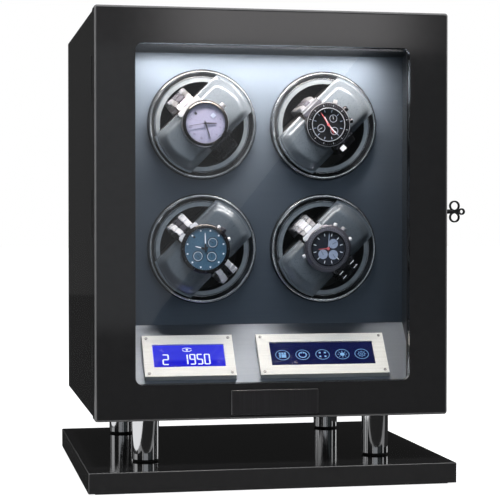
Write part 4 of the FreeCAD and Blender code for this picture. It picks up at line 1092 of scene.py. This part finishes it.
def bracelet(shape, loop, rows, start, end, pitch, taper=0.85):
    """Links from one point of the loop to another, both given in millimetres."""
    whole = length_of(loop)
    path = curve("strap_loop", loop, closed=False)
    count = max(2, round((end - start) / pitch))
    for name, blocks, finish in rows:
        mesh = grown(
            LINKS, Path=path, Link=link_row(name, blocks, (end - start) / count), Count=count,
            Start=(start + pitch / 2) / whole, End=(end - pitch / 2) / whole, Taper=taper, Finish=finish,
        )
        include(shape, mesh, finish)


def band(shape, loop, start, end, wide, finish, tip_wide=None, samples=60):
    """A flat rubber or leather band swept along part of the loop."""
    points = [Vector(p) for p in loop]
    marks, run = [0.0], 0.0
    for a, b in zip(points, points[1:]):
        run += (b - a).length
        marks.append(run)
    rows, rings = [], []
    for k in range(samples + 1):
        at = start + (end - start) * k / samples
        i = max(j for j in range(len(marks) - 1) if marks[j] <= at + 1e-6)
        t = (at - marks[i]) / max(marks[i + 1] - marks[i], 1e-6)
        spot = points[i].lerp(points[i + 1], t)
        ahead = (points[i + 1] - points[i]).normalized()
        out = Vector((0, -ahead.z, ahead.y))
        half = (wide + ((tip_wide or wide) - wide) * k / samples) / 2
        section = [
            (-half, -1.2), (-half + 0.7, -1.7), (half - 0.7, -1.7), (half, -1.2), (half, 1.2),
            (half - 0.7, 1.7), (-half + 0.7, 1.7), (-half, 1.2),
        ]
        rings.append(list(range(len(rows), len(rows) + len(section))))
        rows += [tuple(spot + Vector((x, 0, 0)) + out * h) for x, h in section]
    faces = [rings[0], rings[-1]]
    for a, b in zip(rings, rings[1:]):
        faces += [[a[j], a[(j + 1) % 8], b[(j + 1) % 8], b[j]] for j in range(8)]
    shape.part(rows, faces, finish)
print("helpers for bracelets are made")

# %% Cases, dials and hands
def eye_angle(degrees_seen):
    """A direction as it is seen from the front, in the watch's own turned frame."""
    return radians(degrees_seen) - HOLDER_TURN


def seen_at(x, z):
    """A place as it is seen from the front, in the watch's own turned frame."""
    c, s = cos(HOLDER_TURN), sin(HOLDER_TURN)
    return (x * c + z * s, z * c - x * s)


def case(shape, radius, bezel_r, dial_r, steel, rim, dial):
    """Turned case, bezel and dial."""
    shape.lathe(
        [(0, 22.4), (radius - 1.4, 22.4), (radius, 23.8), (radius, 28.8), (radius - 0.8, 29.6), (0, 29.6)],
        steel, 96,
    )
    r = dial_r
    shape.lathe(
        [(r, 29.5), (bezel_r, 29.5), (bezel_r, 30.6), (bezel_r - 1.1, 32.0), (r + 0.7, 32.4), (r, 31.9)], rim,
        96,
    )
    shape.ring(0, r + 0.1, 29.55, 30.2, dial, 96)
    shape.lathe(
        [(0, 32.45), (r + 0.5, 32.45), (r + 0.5, 32.8), (r - 0.8, 33.35), (0, 33.65)], FINISH["crystal"], 64,
    )


def stud(shape, angle, radius, reach, near, far, height, finish):
    """A crown or pusher that stands out sideways from the case."""
    turn = turned(angle) @ moved(z=height) @ Matrix.Rotation(radians(90), 4, "Y")
    shape.lathe(
        [
            (0, near), (radius * 0.7, near), (radius * 0.7, reach), (radius, reach), (radius, far - 0.5),
            (radius - 0.5, far), (0, far),
        ],
        finish, 28, turn,
    )


def hand(shape, seen, long, tail, wide, height, finish, tip=0.5):
    """A flat hand that points where it is seen to point."""
    w = wide / 2
    shape.plate(
        [(-tail, -w), (long * 0.8, -w), (long, -w * tip), (long, w * tip), (long * 0.8, w), (-tail, w)],
        height, height + 0.22, finish, turned(eye_angle(seen)),
    )


def mark_ring(shape, size, count, radius, finish, start=0.0, height=30.25, dot=False):
    """Marks round the dial from one small pattern."""
    one = Shape()
    if dot:
        one.ring(0, size, 0, 0.25, None, 14)
    else:
        one.block((size[0], size[1], 0.3), None, moved(z=0.15))
    mesh = grown(
        MARKS, Mark=pattern("dial_mark", one), Count=count, Radius=radius, Height=height, Start=start,
        Finish=finish,
    )
    include(shape, mesh, finish)


def subdial(shape, x, z, radius, face, rim, ink, seen):
    """A small counter with its rim and hand."""
    cx, cy = seen_at(x, z)
    spot = moved(cx, cy)
    shape.ring(0, radius, 30.15, 30.32, face, 36, spot)
    shape.ring(radius - 0.55, radius, 30.15, 30.45, rim, 36, spot)
    w, long = 0.22, radius * 0.75
    shape.plate(
        [(-0.8, -w), (long, -w * 0.6), (long, w * 0.6), (-0.8, w)], 30.4, 30.55, ink,
        spot @ turned(eye_angle(seen)),
    )


def numerals(shape, radius, size, finish, height=30.2):
    """Plain hour numbers."""
    for hour in range(1, 13):
        data = bpy.data.curves.new("numeral", "FONT")
        data.body, data.size, data.align_x, data.align_y = str(hour), size, "CENTER", "CENTER"
        data.extrude, data.resolution_u = 0.08, 2
        host = placed("numeral", data)
        graph = bpy.context.evaluated_depsgraph_get()
        mesh = bpy.data.meshes.new_from_object(host.evaluated_get(graph))
        bpy.data.objects.remove(host)
        welded = bmesh.new()
        welded.from_mesh(mesh)
        bmesh.ops.remove_doubles(welded, verts=welded.verts, dist=0.001)
        welded.to_mesh(mesh)
        welded.free()
        a = radians(90 - 30 * hour)
        include(shape, mesh, finish, moved(radius * cos(a), radius * sin(a), height + 0.08))


def cap(shape, radius, finish, low=30.5, high=31.6):
    shape.ring(0, radius, low, high, finish, 24)


def fit_watch(shape, which, slot):
    made = shape.finish(
        "watch_" + which + "_detailed", "rotor_" + which, slot, rotor_place(which, HOLDER_TURN),
        ["watch_" + which], 35,
    )
    print(which, "triangles", sum(len(f.vertices) - 2 for f in made.data.polygons))


# bright stands for lit steel, a painted highlight; dark and the black rim also serve as painted shade
satin, bright, grey = FINISH["watch_satin_steel"], FINISH["watch_bright_steel"], FINISH["watch_grey_steel"]
dark, black_rim_and_painted_shade, rubber = FINISH["watch_dark_steel"], FINISH["watch_black_rim"], FINISH["watch_rubber"]
white, ink = FINISH["dial_paint"], FINISH["dial_ink"]

# %% Upper left: pale dial, black rim, steel bracelet
watch = Shape()
case(watch, 20.0, 19.5, 16.9, satin, black_rim_and_painted_shade, FINISH["dial_lavender"])
numerals(watch, 13.2, 2.9, FINISH["dial_grey_ink"])
mark_ring(watch, (0.8, 0.22), 60, 15.9, FINISH["dial_grey_ink"])
dot = seen_at(-8.2, 8.2)
watch.ring(0, 1.1, 30.15, 30.4, ink, 20, moved(*dot))
watch.block((3.6, 3.4, 0.3), FINISH["dial_pale"], moved(9.4, 0, 30.3))
hand(watch, 0, 9.8, 1.5, 1.0, 30.7, ink, 0.4)
hand(watch, -72, 13.4, 2.2, 0.9, 30.95, ink, 0.3)
hand(watch, 190, 14.2, 3.0, 0.35, 31.2, ink, 1.0)
cap(watch, 1.1, ink)
stud(watch, eye_angle(45), 2.6, 20.4, 18.5, 23.4, 26.6, satin)
loop = strap_loop(34.0, 22.0)
outer, middle = [(-6.9, 5.6), (6.9, 5.6)], [(0, 7.6)]
whole = length_of(loop)
# the upper end link in near-white steel is a painted highlight, the lower one in dark steel painted shade
watch.block((23.6, 4.8, 4.4), bright, moved(0, 19.6, 27.6), 0.9)
watch.block((12.0, 2.6, 4.6), satin, moved(0, 17.8, 27.8), 0.6)
watch.block((22.0, 4.8, 4.4), dark, moved(0, -19.6, 27.6), 0.9)
bracelet(watch, loop, [("outer_links", outer, satin), ("middle_links", middle, grey)], 21.5, whole / 2, 6.4)
# the lower half is painted shade: dark steel outer links and black middle links
bracelet(
    watch, loop, [("outer_links", outer, dark), ("middle_links", middle, black_rim_and_painted_shade)], whole / 2, whole - 21.5,
    6.4,
)
fit_watch(watch, "upper_left", "watch_steel")

# %% Upper right: black chronograph, steel links above and a rubber strap below
watch = Shape()
case(watch, 19.4, 18.8, 13.8, dark, black_rim_and_painted_shade, FINISH["dial_black"])
watch.lathe([(18.5, 30.9), (18.95, 30.9), (18.95, 31.3), (18.5, 31.4)], satin, 96)
watch.ring(13.9, 14.5, 32.1, 32.5, satin, 96)
mark_ring(watch, (1.5, 0.45), 12, 16.6, satin, 0.0, 32.0)
mark_ring(watch, (0.9, 0.25), 60, 16.9, grey, 0.0, 31.95)
mark_ring(watch, (2.2, 0.55), 12, 11.9, FINISH["dial_pale"], 0.0)
for x, z, seen in ((4.4, 5.3, 100), (-6.1, -3.1, 210), (5.3, -5.3, -30)):
    subdial(watch, x, z, 3.4, FINISH["dial_black"], FINISH["watch_satin_steel"], white, seen)
hand(watch, 123, 12.6, 9.0, 0.5, 31.25, FINISH["hand_red"], 0.6)
hand(watch, 118, 7.5, 1.5, 1.1, 30.95, white, 0.5)
hand(watch, -47, 10.2, 1.0, 0.9, 30.75, white, 0.5)
cap(watch, 1.1, FINISH["hand_red"])
# the pusher at 71 is near-white steel, a painted highlight
for seen, size in ((71, 1.9), (41, 2.5), (10, 1.9)):
    stud(watch, eye_angle(seen), size, 19.6, 17.8, 22.6, 26.6, bright if seen == 71 else dark)
loop = strap_loop(27.0, 10.0)
whole = length_of(loop)
watch.block((20.0, 4.6, 4.2), grey, moved(0, 18.9, 27.2), 0.8)
# the first clasp bar is near-white steel, a painted highlight; the lower end link is dark steel, painted shade
for k, y in enumerate((21.6, 23.4)):
    watch.block((18.4, 1.3, 4.0), bright if k == 0 else satin, moved(0, y, 27.2 - 0.3 * k), 0.35)
watch.block((20.0, 4.6, 4.0), dark, moved(0, -18.9, 27.2), 0.8)
bracelet(
    watch, loop, [("outer_links", [(-6.1, 5.4), (6.1, 5.4)], satin), ("middle_links", [(0, 6.4)], grey)],
    24.5, whole / 2, 5.4,
)
band(watch, loop, whole / 2, whole - 20.5, 17.0, rubber, 18.0)
watch.block((5.0, 4.2, 0.9), white, moved(-4.8, -23.4, 30.2), 0.25)
fit_watch(watch, "upper_right", "watch_black")

# %% Lower left: teal chronograph on a three-row bracelet
watch = Shape()
case(watch, 20.4, 21.0, 17.9, satin, black_rim_and_painted_shade, FINISH["dial_teal"])
mark_ring(watch, (1.1, 0.5), 12, 19.4, grey, tau / 24, 32.15)
mark_ring(watch, 0.78, 12, 15.9, white, 0.0, dot=True)
mark_ring(watch, (0.7, 0.18), 60, 17.2, FINISH["dial_pale"])
dot = seen_at(-9.6, 9.9)
watch.ring(0, 1.0, 30.15, 30.55, ink, 20, moved(*dot))
for x, z, seen in ((6.1, 5.3, 150), (-6.5, -6.1, -45), (5.3, -6.5, 90)):
    subdial(watch, x, z, 4.7, FINISH["dial_teal"], ink, ink, seen)
    cx, cy = seen_at(x, z)
    watch.ring(3.5, 3.8, 30.3, 30.45, white, 32, moved(cx, cy))
hand(watch, 92, 13.6, 1.0, 0.9, 31.0, white, 0.5)
hand(watch, 166, 9.0, 1.0, 0.9, 30.8, white, 0.5)
for seen, long in ((92, 4.5), (166, 4.0), (40, 2.6), (-80, 2.6)):
    hand(watch, seen, long, 0.5, 1.5, 31.25, ink, 0.6)
cap(watch, 1.5, ink, 30.5, 31.9)
stud(watch, eye_angle(46), 2.7, 21.2, 19.0, 24.0, 26.4, grey)
# these two pushers are near-white steel, a painted highlight
for seen in (57, 22):
    stud(watch, eye_angle(seen), 1.5, 21.0, 19.0, 23.4, 26.4, bright)
loop = strap_loop(34.0, 22.0)
whole = length_of(loop)
outer, middle = [(-6.1, 5.8), (6.1, 5.8)], [(0, 6.0)]
# near-white steel on the upper end link and all outer links is a painted highlight; the dark centre piece and
# lower middle links are painted shade
watch.block((20.6, 5.4, 4.2), bright, moved(0, 19.8, 27.7), 0.9)
watch.block((7.2, 4.0, 4.4), dark, moved(0, 20.8, 27.85), 0.4)
bracelet(watch, loop, [("outer_links", outer, bright), ("middle_links", middle, grey)], 22.5, whole / 2, 7.2)
bracelet(
    watch, loop, [("outer_links", outer, bright), ("middle_links", middle, dark)], whole / 2, whole - 19.0,
    7.2,
)
fit_watch(watch, "lower_left", "watch_steel")

# %% Lower right: dark dial with pale counters, bright bracelet
watch = Shape()
case(watch, 20.4, 19.4, 14.3, grey, grey, FINISH["dial_slate"])
watch.ring(14.3, 15.2, 31.9, 32.5, black_rim_and_painted_shade, 96)
mark_ring(watch, (0.8, 0.2), 60, 17.2, satin, 0.0, 32.0)
mark_ring(watch, (2.4, 0.6), 12, 12.0, white)
for x, z, seen in ((4.5, 4.1, 30), (-4.5, -4.9, 120), (4.5, -5.3, -60)):
    subdial(watch, x, z, 4.1, FINISH["dial_pale"], FINISH["dial_pale"], ink, seen)
hand(watch, 86, 13.2, 1.2, 0.7, 31.0, FINISH["dial_pale"], 0.5)
hand(watch, 184, 8.6, 1.2, 0.7, 30.8, FINISH["hand_red"], 0.5)
cap(watch, 1.3, FINISH["hand_red"])
# these three pushers are near-white steel, a painted highlight
for seen in (71, 22, 198):
    stud(watch, eye_angle(seen), 1.7, 20.6, 18.5, 23.0, 26.4, bright)
stud(watch, eye_angle(49), 2.5, 20.6, 18.5, 23.4, 26.4, satin)
loop = strap_loop(32.5, 20.0)
whole = length_of(loop)
outer, middle = [(-6.6, 4.8), (6.6, 4.8)], [(0, 8.0)]
# the upper end link and upper middle links in near-white steel are a painted highlight; the lower end link is dark
# steel, painted shade
watch.block((20.0, 4.6, 4.4), bright, moved(0, 19.4, 27.7), 0.9)
watch.block((20.6, 5.2, 4.2), dark, moved(0, -19.6, 27.5), 0.9)
bracelet(watch, loop, [("outer_links", outer, satin), ("middle_links", middle, bright)], 21.5, whole / 2, 5.0)
# the lower half is painted shade: dark steel outer links and black middle links
bracelet(
    watch, loop, [("outer_links", outer, dark), ("middle_links", middle, black_rim_and_painted_shade)], whole / 2, whole - 22.0,
    5.0,
)
# small near-white bars on the dark lower half: painted glints
for x in (-6.6, 6.6):
    for y in (-23.2, -28.0):
        watch.block((4.4, 0.7, 0.3), bright, moved(x, y, 30.0 if y > -25 else 28.6), 0.1)
fit_watch(watch, "lower_right", "watch_steel")

# %% [markdown]
# ## Console
# The display and the touch keys lie on the sloped panel. The display's numbers are seven
# segments each, as on any such module, and the wording beside them is left off. The five touch
# keys carry plain signs inside rings: a grid, a turning arrow, four squares, a lamp and a gear.

# %% Sloped frame
SLOPE_FOOT = Vector((0, -115.5, 87.5))
SLOPE = atan2(134.2 - 87.5, 115.5 - 60.5)
slope_place = Matrix.Scale(MM, 4) @ Matrix.Translation(SLOPE_FOOT) @ Matrix.Rotation(SLOPE, 4, "X") @ Matrix.Scale(
    1 / MM, 4,
)
PANE = 3.7
SIGN_FOOT, SIGN_TOP = PANE - 0.1, PANE + 0.12
print("slope", round(degrees(SLOPE), 2))

# %% Seven-segment numbers
SEGMENTS = {"0": "abcdef", "1": "bc", "2": "abged", "5": "afgcd", "9": "abcdfg"}


def digit(shape, left, foot, wide, high, number, finish, thick=1.15):
    """One number from bars with a small gap between them."""
    t, mid, gap = thick, high / 2, 0.25
    bars = {
        "a": (t * 0.6, high - t, wide - t * 0.6, high), "d": (t * 0.6, 0, wide - t * 0.6, t),
        "g": (t * 0.6, mid - t / 2, wide - t * 0.6, mid + t / 2),
        "f": (0, mid + gap, t, high - t * 0.6), "e": (0, t * 0.6, t, mid - gap),
        "b": (wide - t, mid + gap, wide, high - t * 0.6), "c": (wide - t, t * 0.6, wide, mid - gap),
    }
    for bar in SEGMENTS[number]:
        x0, y0, x1, y1 = (v + base for v, base in zip(bars[bar], (left, foot, left, foot)))
        shape.plate([(x0, y0), (x1, y0), (x1, y1), (x0, y1)], SIGN_FOOT, SIGN_TOP, finish)


def arc(shape, cx, cy, rx, ry, thick, start, end, finish, steps=20):
    """A flat curved bar, such as part of an arrow."""
    rows, n = [], steps + 1
    for h in (SIGN_FOOT, SIGN_TOP):
        for grow in (0.0, thick):
            for k in range(n):
                a = radians(start + (end - start) * k / steps)
                rows.append((cx + (rx - grow) * cos(a), cy + (ry - grow) * sin(a), h))
    faces = []
    for k in range(steps):
        for a, b in ((0, 1), (1, 3), (3, 2), (2, 0)):
            faces.append([a * n + k, a * n + k + 1, b * n + k + 1, b * n + k])
    faces += [[0, n, 3 * n, 2 * n], [steps, n + steps, 3 * n + steps, 2 * n + steps]]
    shape.part(rows, faces, finish)


LCD_LEFT, WINDOW_FOOT = -98.1, 16.1
shown = Shape()
for number, left, wide in (
    ("2", 7.3, 5.7), ("1", 24.2, 5.0), ("9", 30.4, 5.2), ("5", 36.6, 5.2), ("0", 42.8, 5.2),
):
    digit(shown, LCD_LEFT + left, WINDOW_FOOT + 2.9, wide, 12.8, number, FINISH["digit"])
for start in (20, 200):
    arc(shown, LCD_LEFT + 29.0, WINDOW_FOOT + 21.0, 4.4, 2.4, 0.6, start, start + 140, FINISH["digit"])
shown.ring(0, 1.0, SIGN_FOOT, SIGN_TOP, FINISH["digit"], 20, moved(LCD_LEFT + 29.0, WINDOW_FOOT + 21.0))
shown.finish("display_numbers", "cabinet", "lcd", slope_place)

# %% Touch keys
keys, glow_key, ring_key = Shape(), FINISH["icon"], FINISH["icon_ring"]
KEY_X, KEY_S = (12.5, 30.0, 47.5, 64.9, 82.0), 28.7
for x in KEY_X:
    keys.ring(5.6, 6.25, SIGN_FOOT, SIGN_TOP, ring_key, 56, moved(x, KEY_S))


def squares(name, size, wide, high, columns, rows, at):
    """Small lit squares in rows and columns."""
    one = Shape()
    one.block((size, size, 0.22), None)
    mesh = grown(
        GRID, Piece=pattern(name, one), Width=wide, Height=high, Columns=columns, Rows=rows,
        Leave_out=KEEP_ALL, Finish=glow_key,
    )
    include(keys, mesh, glow_key, moved(at, KEY_S, PANE + 0.01))


squares("grid_square", 1.75, 4.4, 4.4, 3, 3, KEY_X[0])
keys.block((3.95, 3.95, 0.2), glow_key, moved(KEY_X[0] + 1.1, KEY_S - 1.1, PANE + 0.01))
arc(keys, KEY_X[1], KEY_S, 3.7, 3.7, 0.9, 115, 425, glow_key, 40)
for side in (-1, 1):
    tip = [(0, 1.5), (2.0, 0), (0, -1.5)]
    keys.plate(
        tip, SIGN_FOOT, SIGN_TOP, glow_key,
        moved(KEY_X[1] + side * 1.5, KEY_S + 3.2) @ turned(radians(-60 if side < 0 else 240)),
    )
squares("corner_square", 1.7, 4.6, 4.6, 2, 2, KEY_X[2])
keys.ring(0, 2.0, SIGN_FOOT, SIGN_TOP, glow_key, 28, moved(KEY_X[3], KEY_S))
ray = Shape()
ray.block((1.3, 0.5, 0.22), None)
ray_object = pattern("key_ray", ray)
for x, count, radius in ((KEY_X[3], 8, 3.5), (KEY_X[4], 8, 3.3)):
    mesh = grown(MARKS, Mark=ray_object, Count=count, Radius=radius, Height=0.0, Start=0.0, Finish=glow_key)
    include(keys, mesh, glow_key if x == KEY_X[3] else ring_key, moved(x, KEY_S, PANE + 0.01))
for r in (2.9, 1.3):
    keys.ring(r - 0.5, r, SIGN_FOOT, SIGN_TOP, ring_key, 32, moved(KEY_X[4], KEY_S))
keys.finish("touch_keys", "cabinet", "touch", slope_place)

# %% [markdown]
# ## Name plate
# The door's lower rail carries a thin plate of anodised metal, which is left bare. A block
# with rounded edges takes the solid's place, because such edges catch the light. Its finish
# also paints those edges paler, a painted highlight.

# %% Bare name plate with softened edges
low, high = box_of("name_plate")
centre = (low + high) / 2
badge = Shape()
badge.block(
    (high.x - low.x, high.y - low.y, high.z - low.z), FINISH["name_plate"],
    moved(centre.x, centre.y, centre.z), 0.45, 3,
)
badge.finish("bare_name_plate", "door", "name_plate", None, ["name_plate"])

# %% [markdown]
# ## Light strip
# A tape with white light chips is stuck under the ceiling behind the door's top rail. It washes
# the brushed panel from above, bright at the top and fading down. The chips glow; one long lamp
# beside them gives the light itself, which renders cleaner than many tiny sources.

# %% Tape, chips and the light they give
low, high = box_of("led_strip")
centre = (low + high) / 2
tape = Shape()
tape.block((high.x - low.x, high.y - low.y, 1.2), FINISH["led_tape"], moved(centre.x, centre.y, high.z - 0.6))
chip = Shape()
chip.lathe([(0, 0), (2.0, 0.2), (2.0, 1.0), (0, 1.0)], None, 16)
CHIP_COUNT, TAPE_ENDS = 24, 10
GLOW_WATTS, GLOW_TILT, GLOW_SPREAD = 0.57, 40, 112
row = grown(
    GRID, Piece=pattern("light_chip", chip), Width=high.x - low.x - TAPE_ENDS, Height=0.0,
    Columns=CHIP_COUNT, Rows=1, Leave_out=KEEP_ALL, Finish=FINISH["led"],
)
include(tape, row, FINISH["led"], moved(centre.x, centre.y, high.z - 2.1))
tape.finish("light_tape", "cabinet", "led", None, ["led_strip"])

strip_lamp = bpy.data.lights.new("light_tape_glow", "AREA")
strip_lamp.shape, strip_lamp.size, strip_lamp.size_y = "RECTANGLE", 0.21, 0.006
strip_lamp.spread = radians(GLOW_SPREAD)
strip_lamp.energy, strip_lamp.color = GLOW_WATTS, linear("#FFEFE0")[:3]
strip_object = bpy.data.objects.new("light_tape_glow", strip_lamp)
strip_object.location = (-0.004, centre.y * MM, (low.z - 8.0) * MM)
strip_object.rotation_euler = (radians(GLOW_TILT), 0, 0)
bpy.context.scene.collection.objects.link(strip_object)
print("chips", CHIP_COUNT, "lamp", round(strip_lamp.energy, 2), "W")

# %% Patterns go away
for made in PATTERNS:
    bpy.data.objects.remove(made)
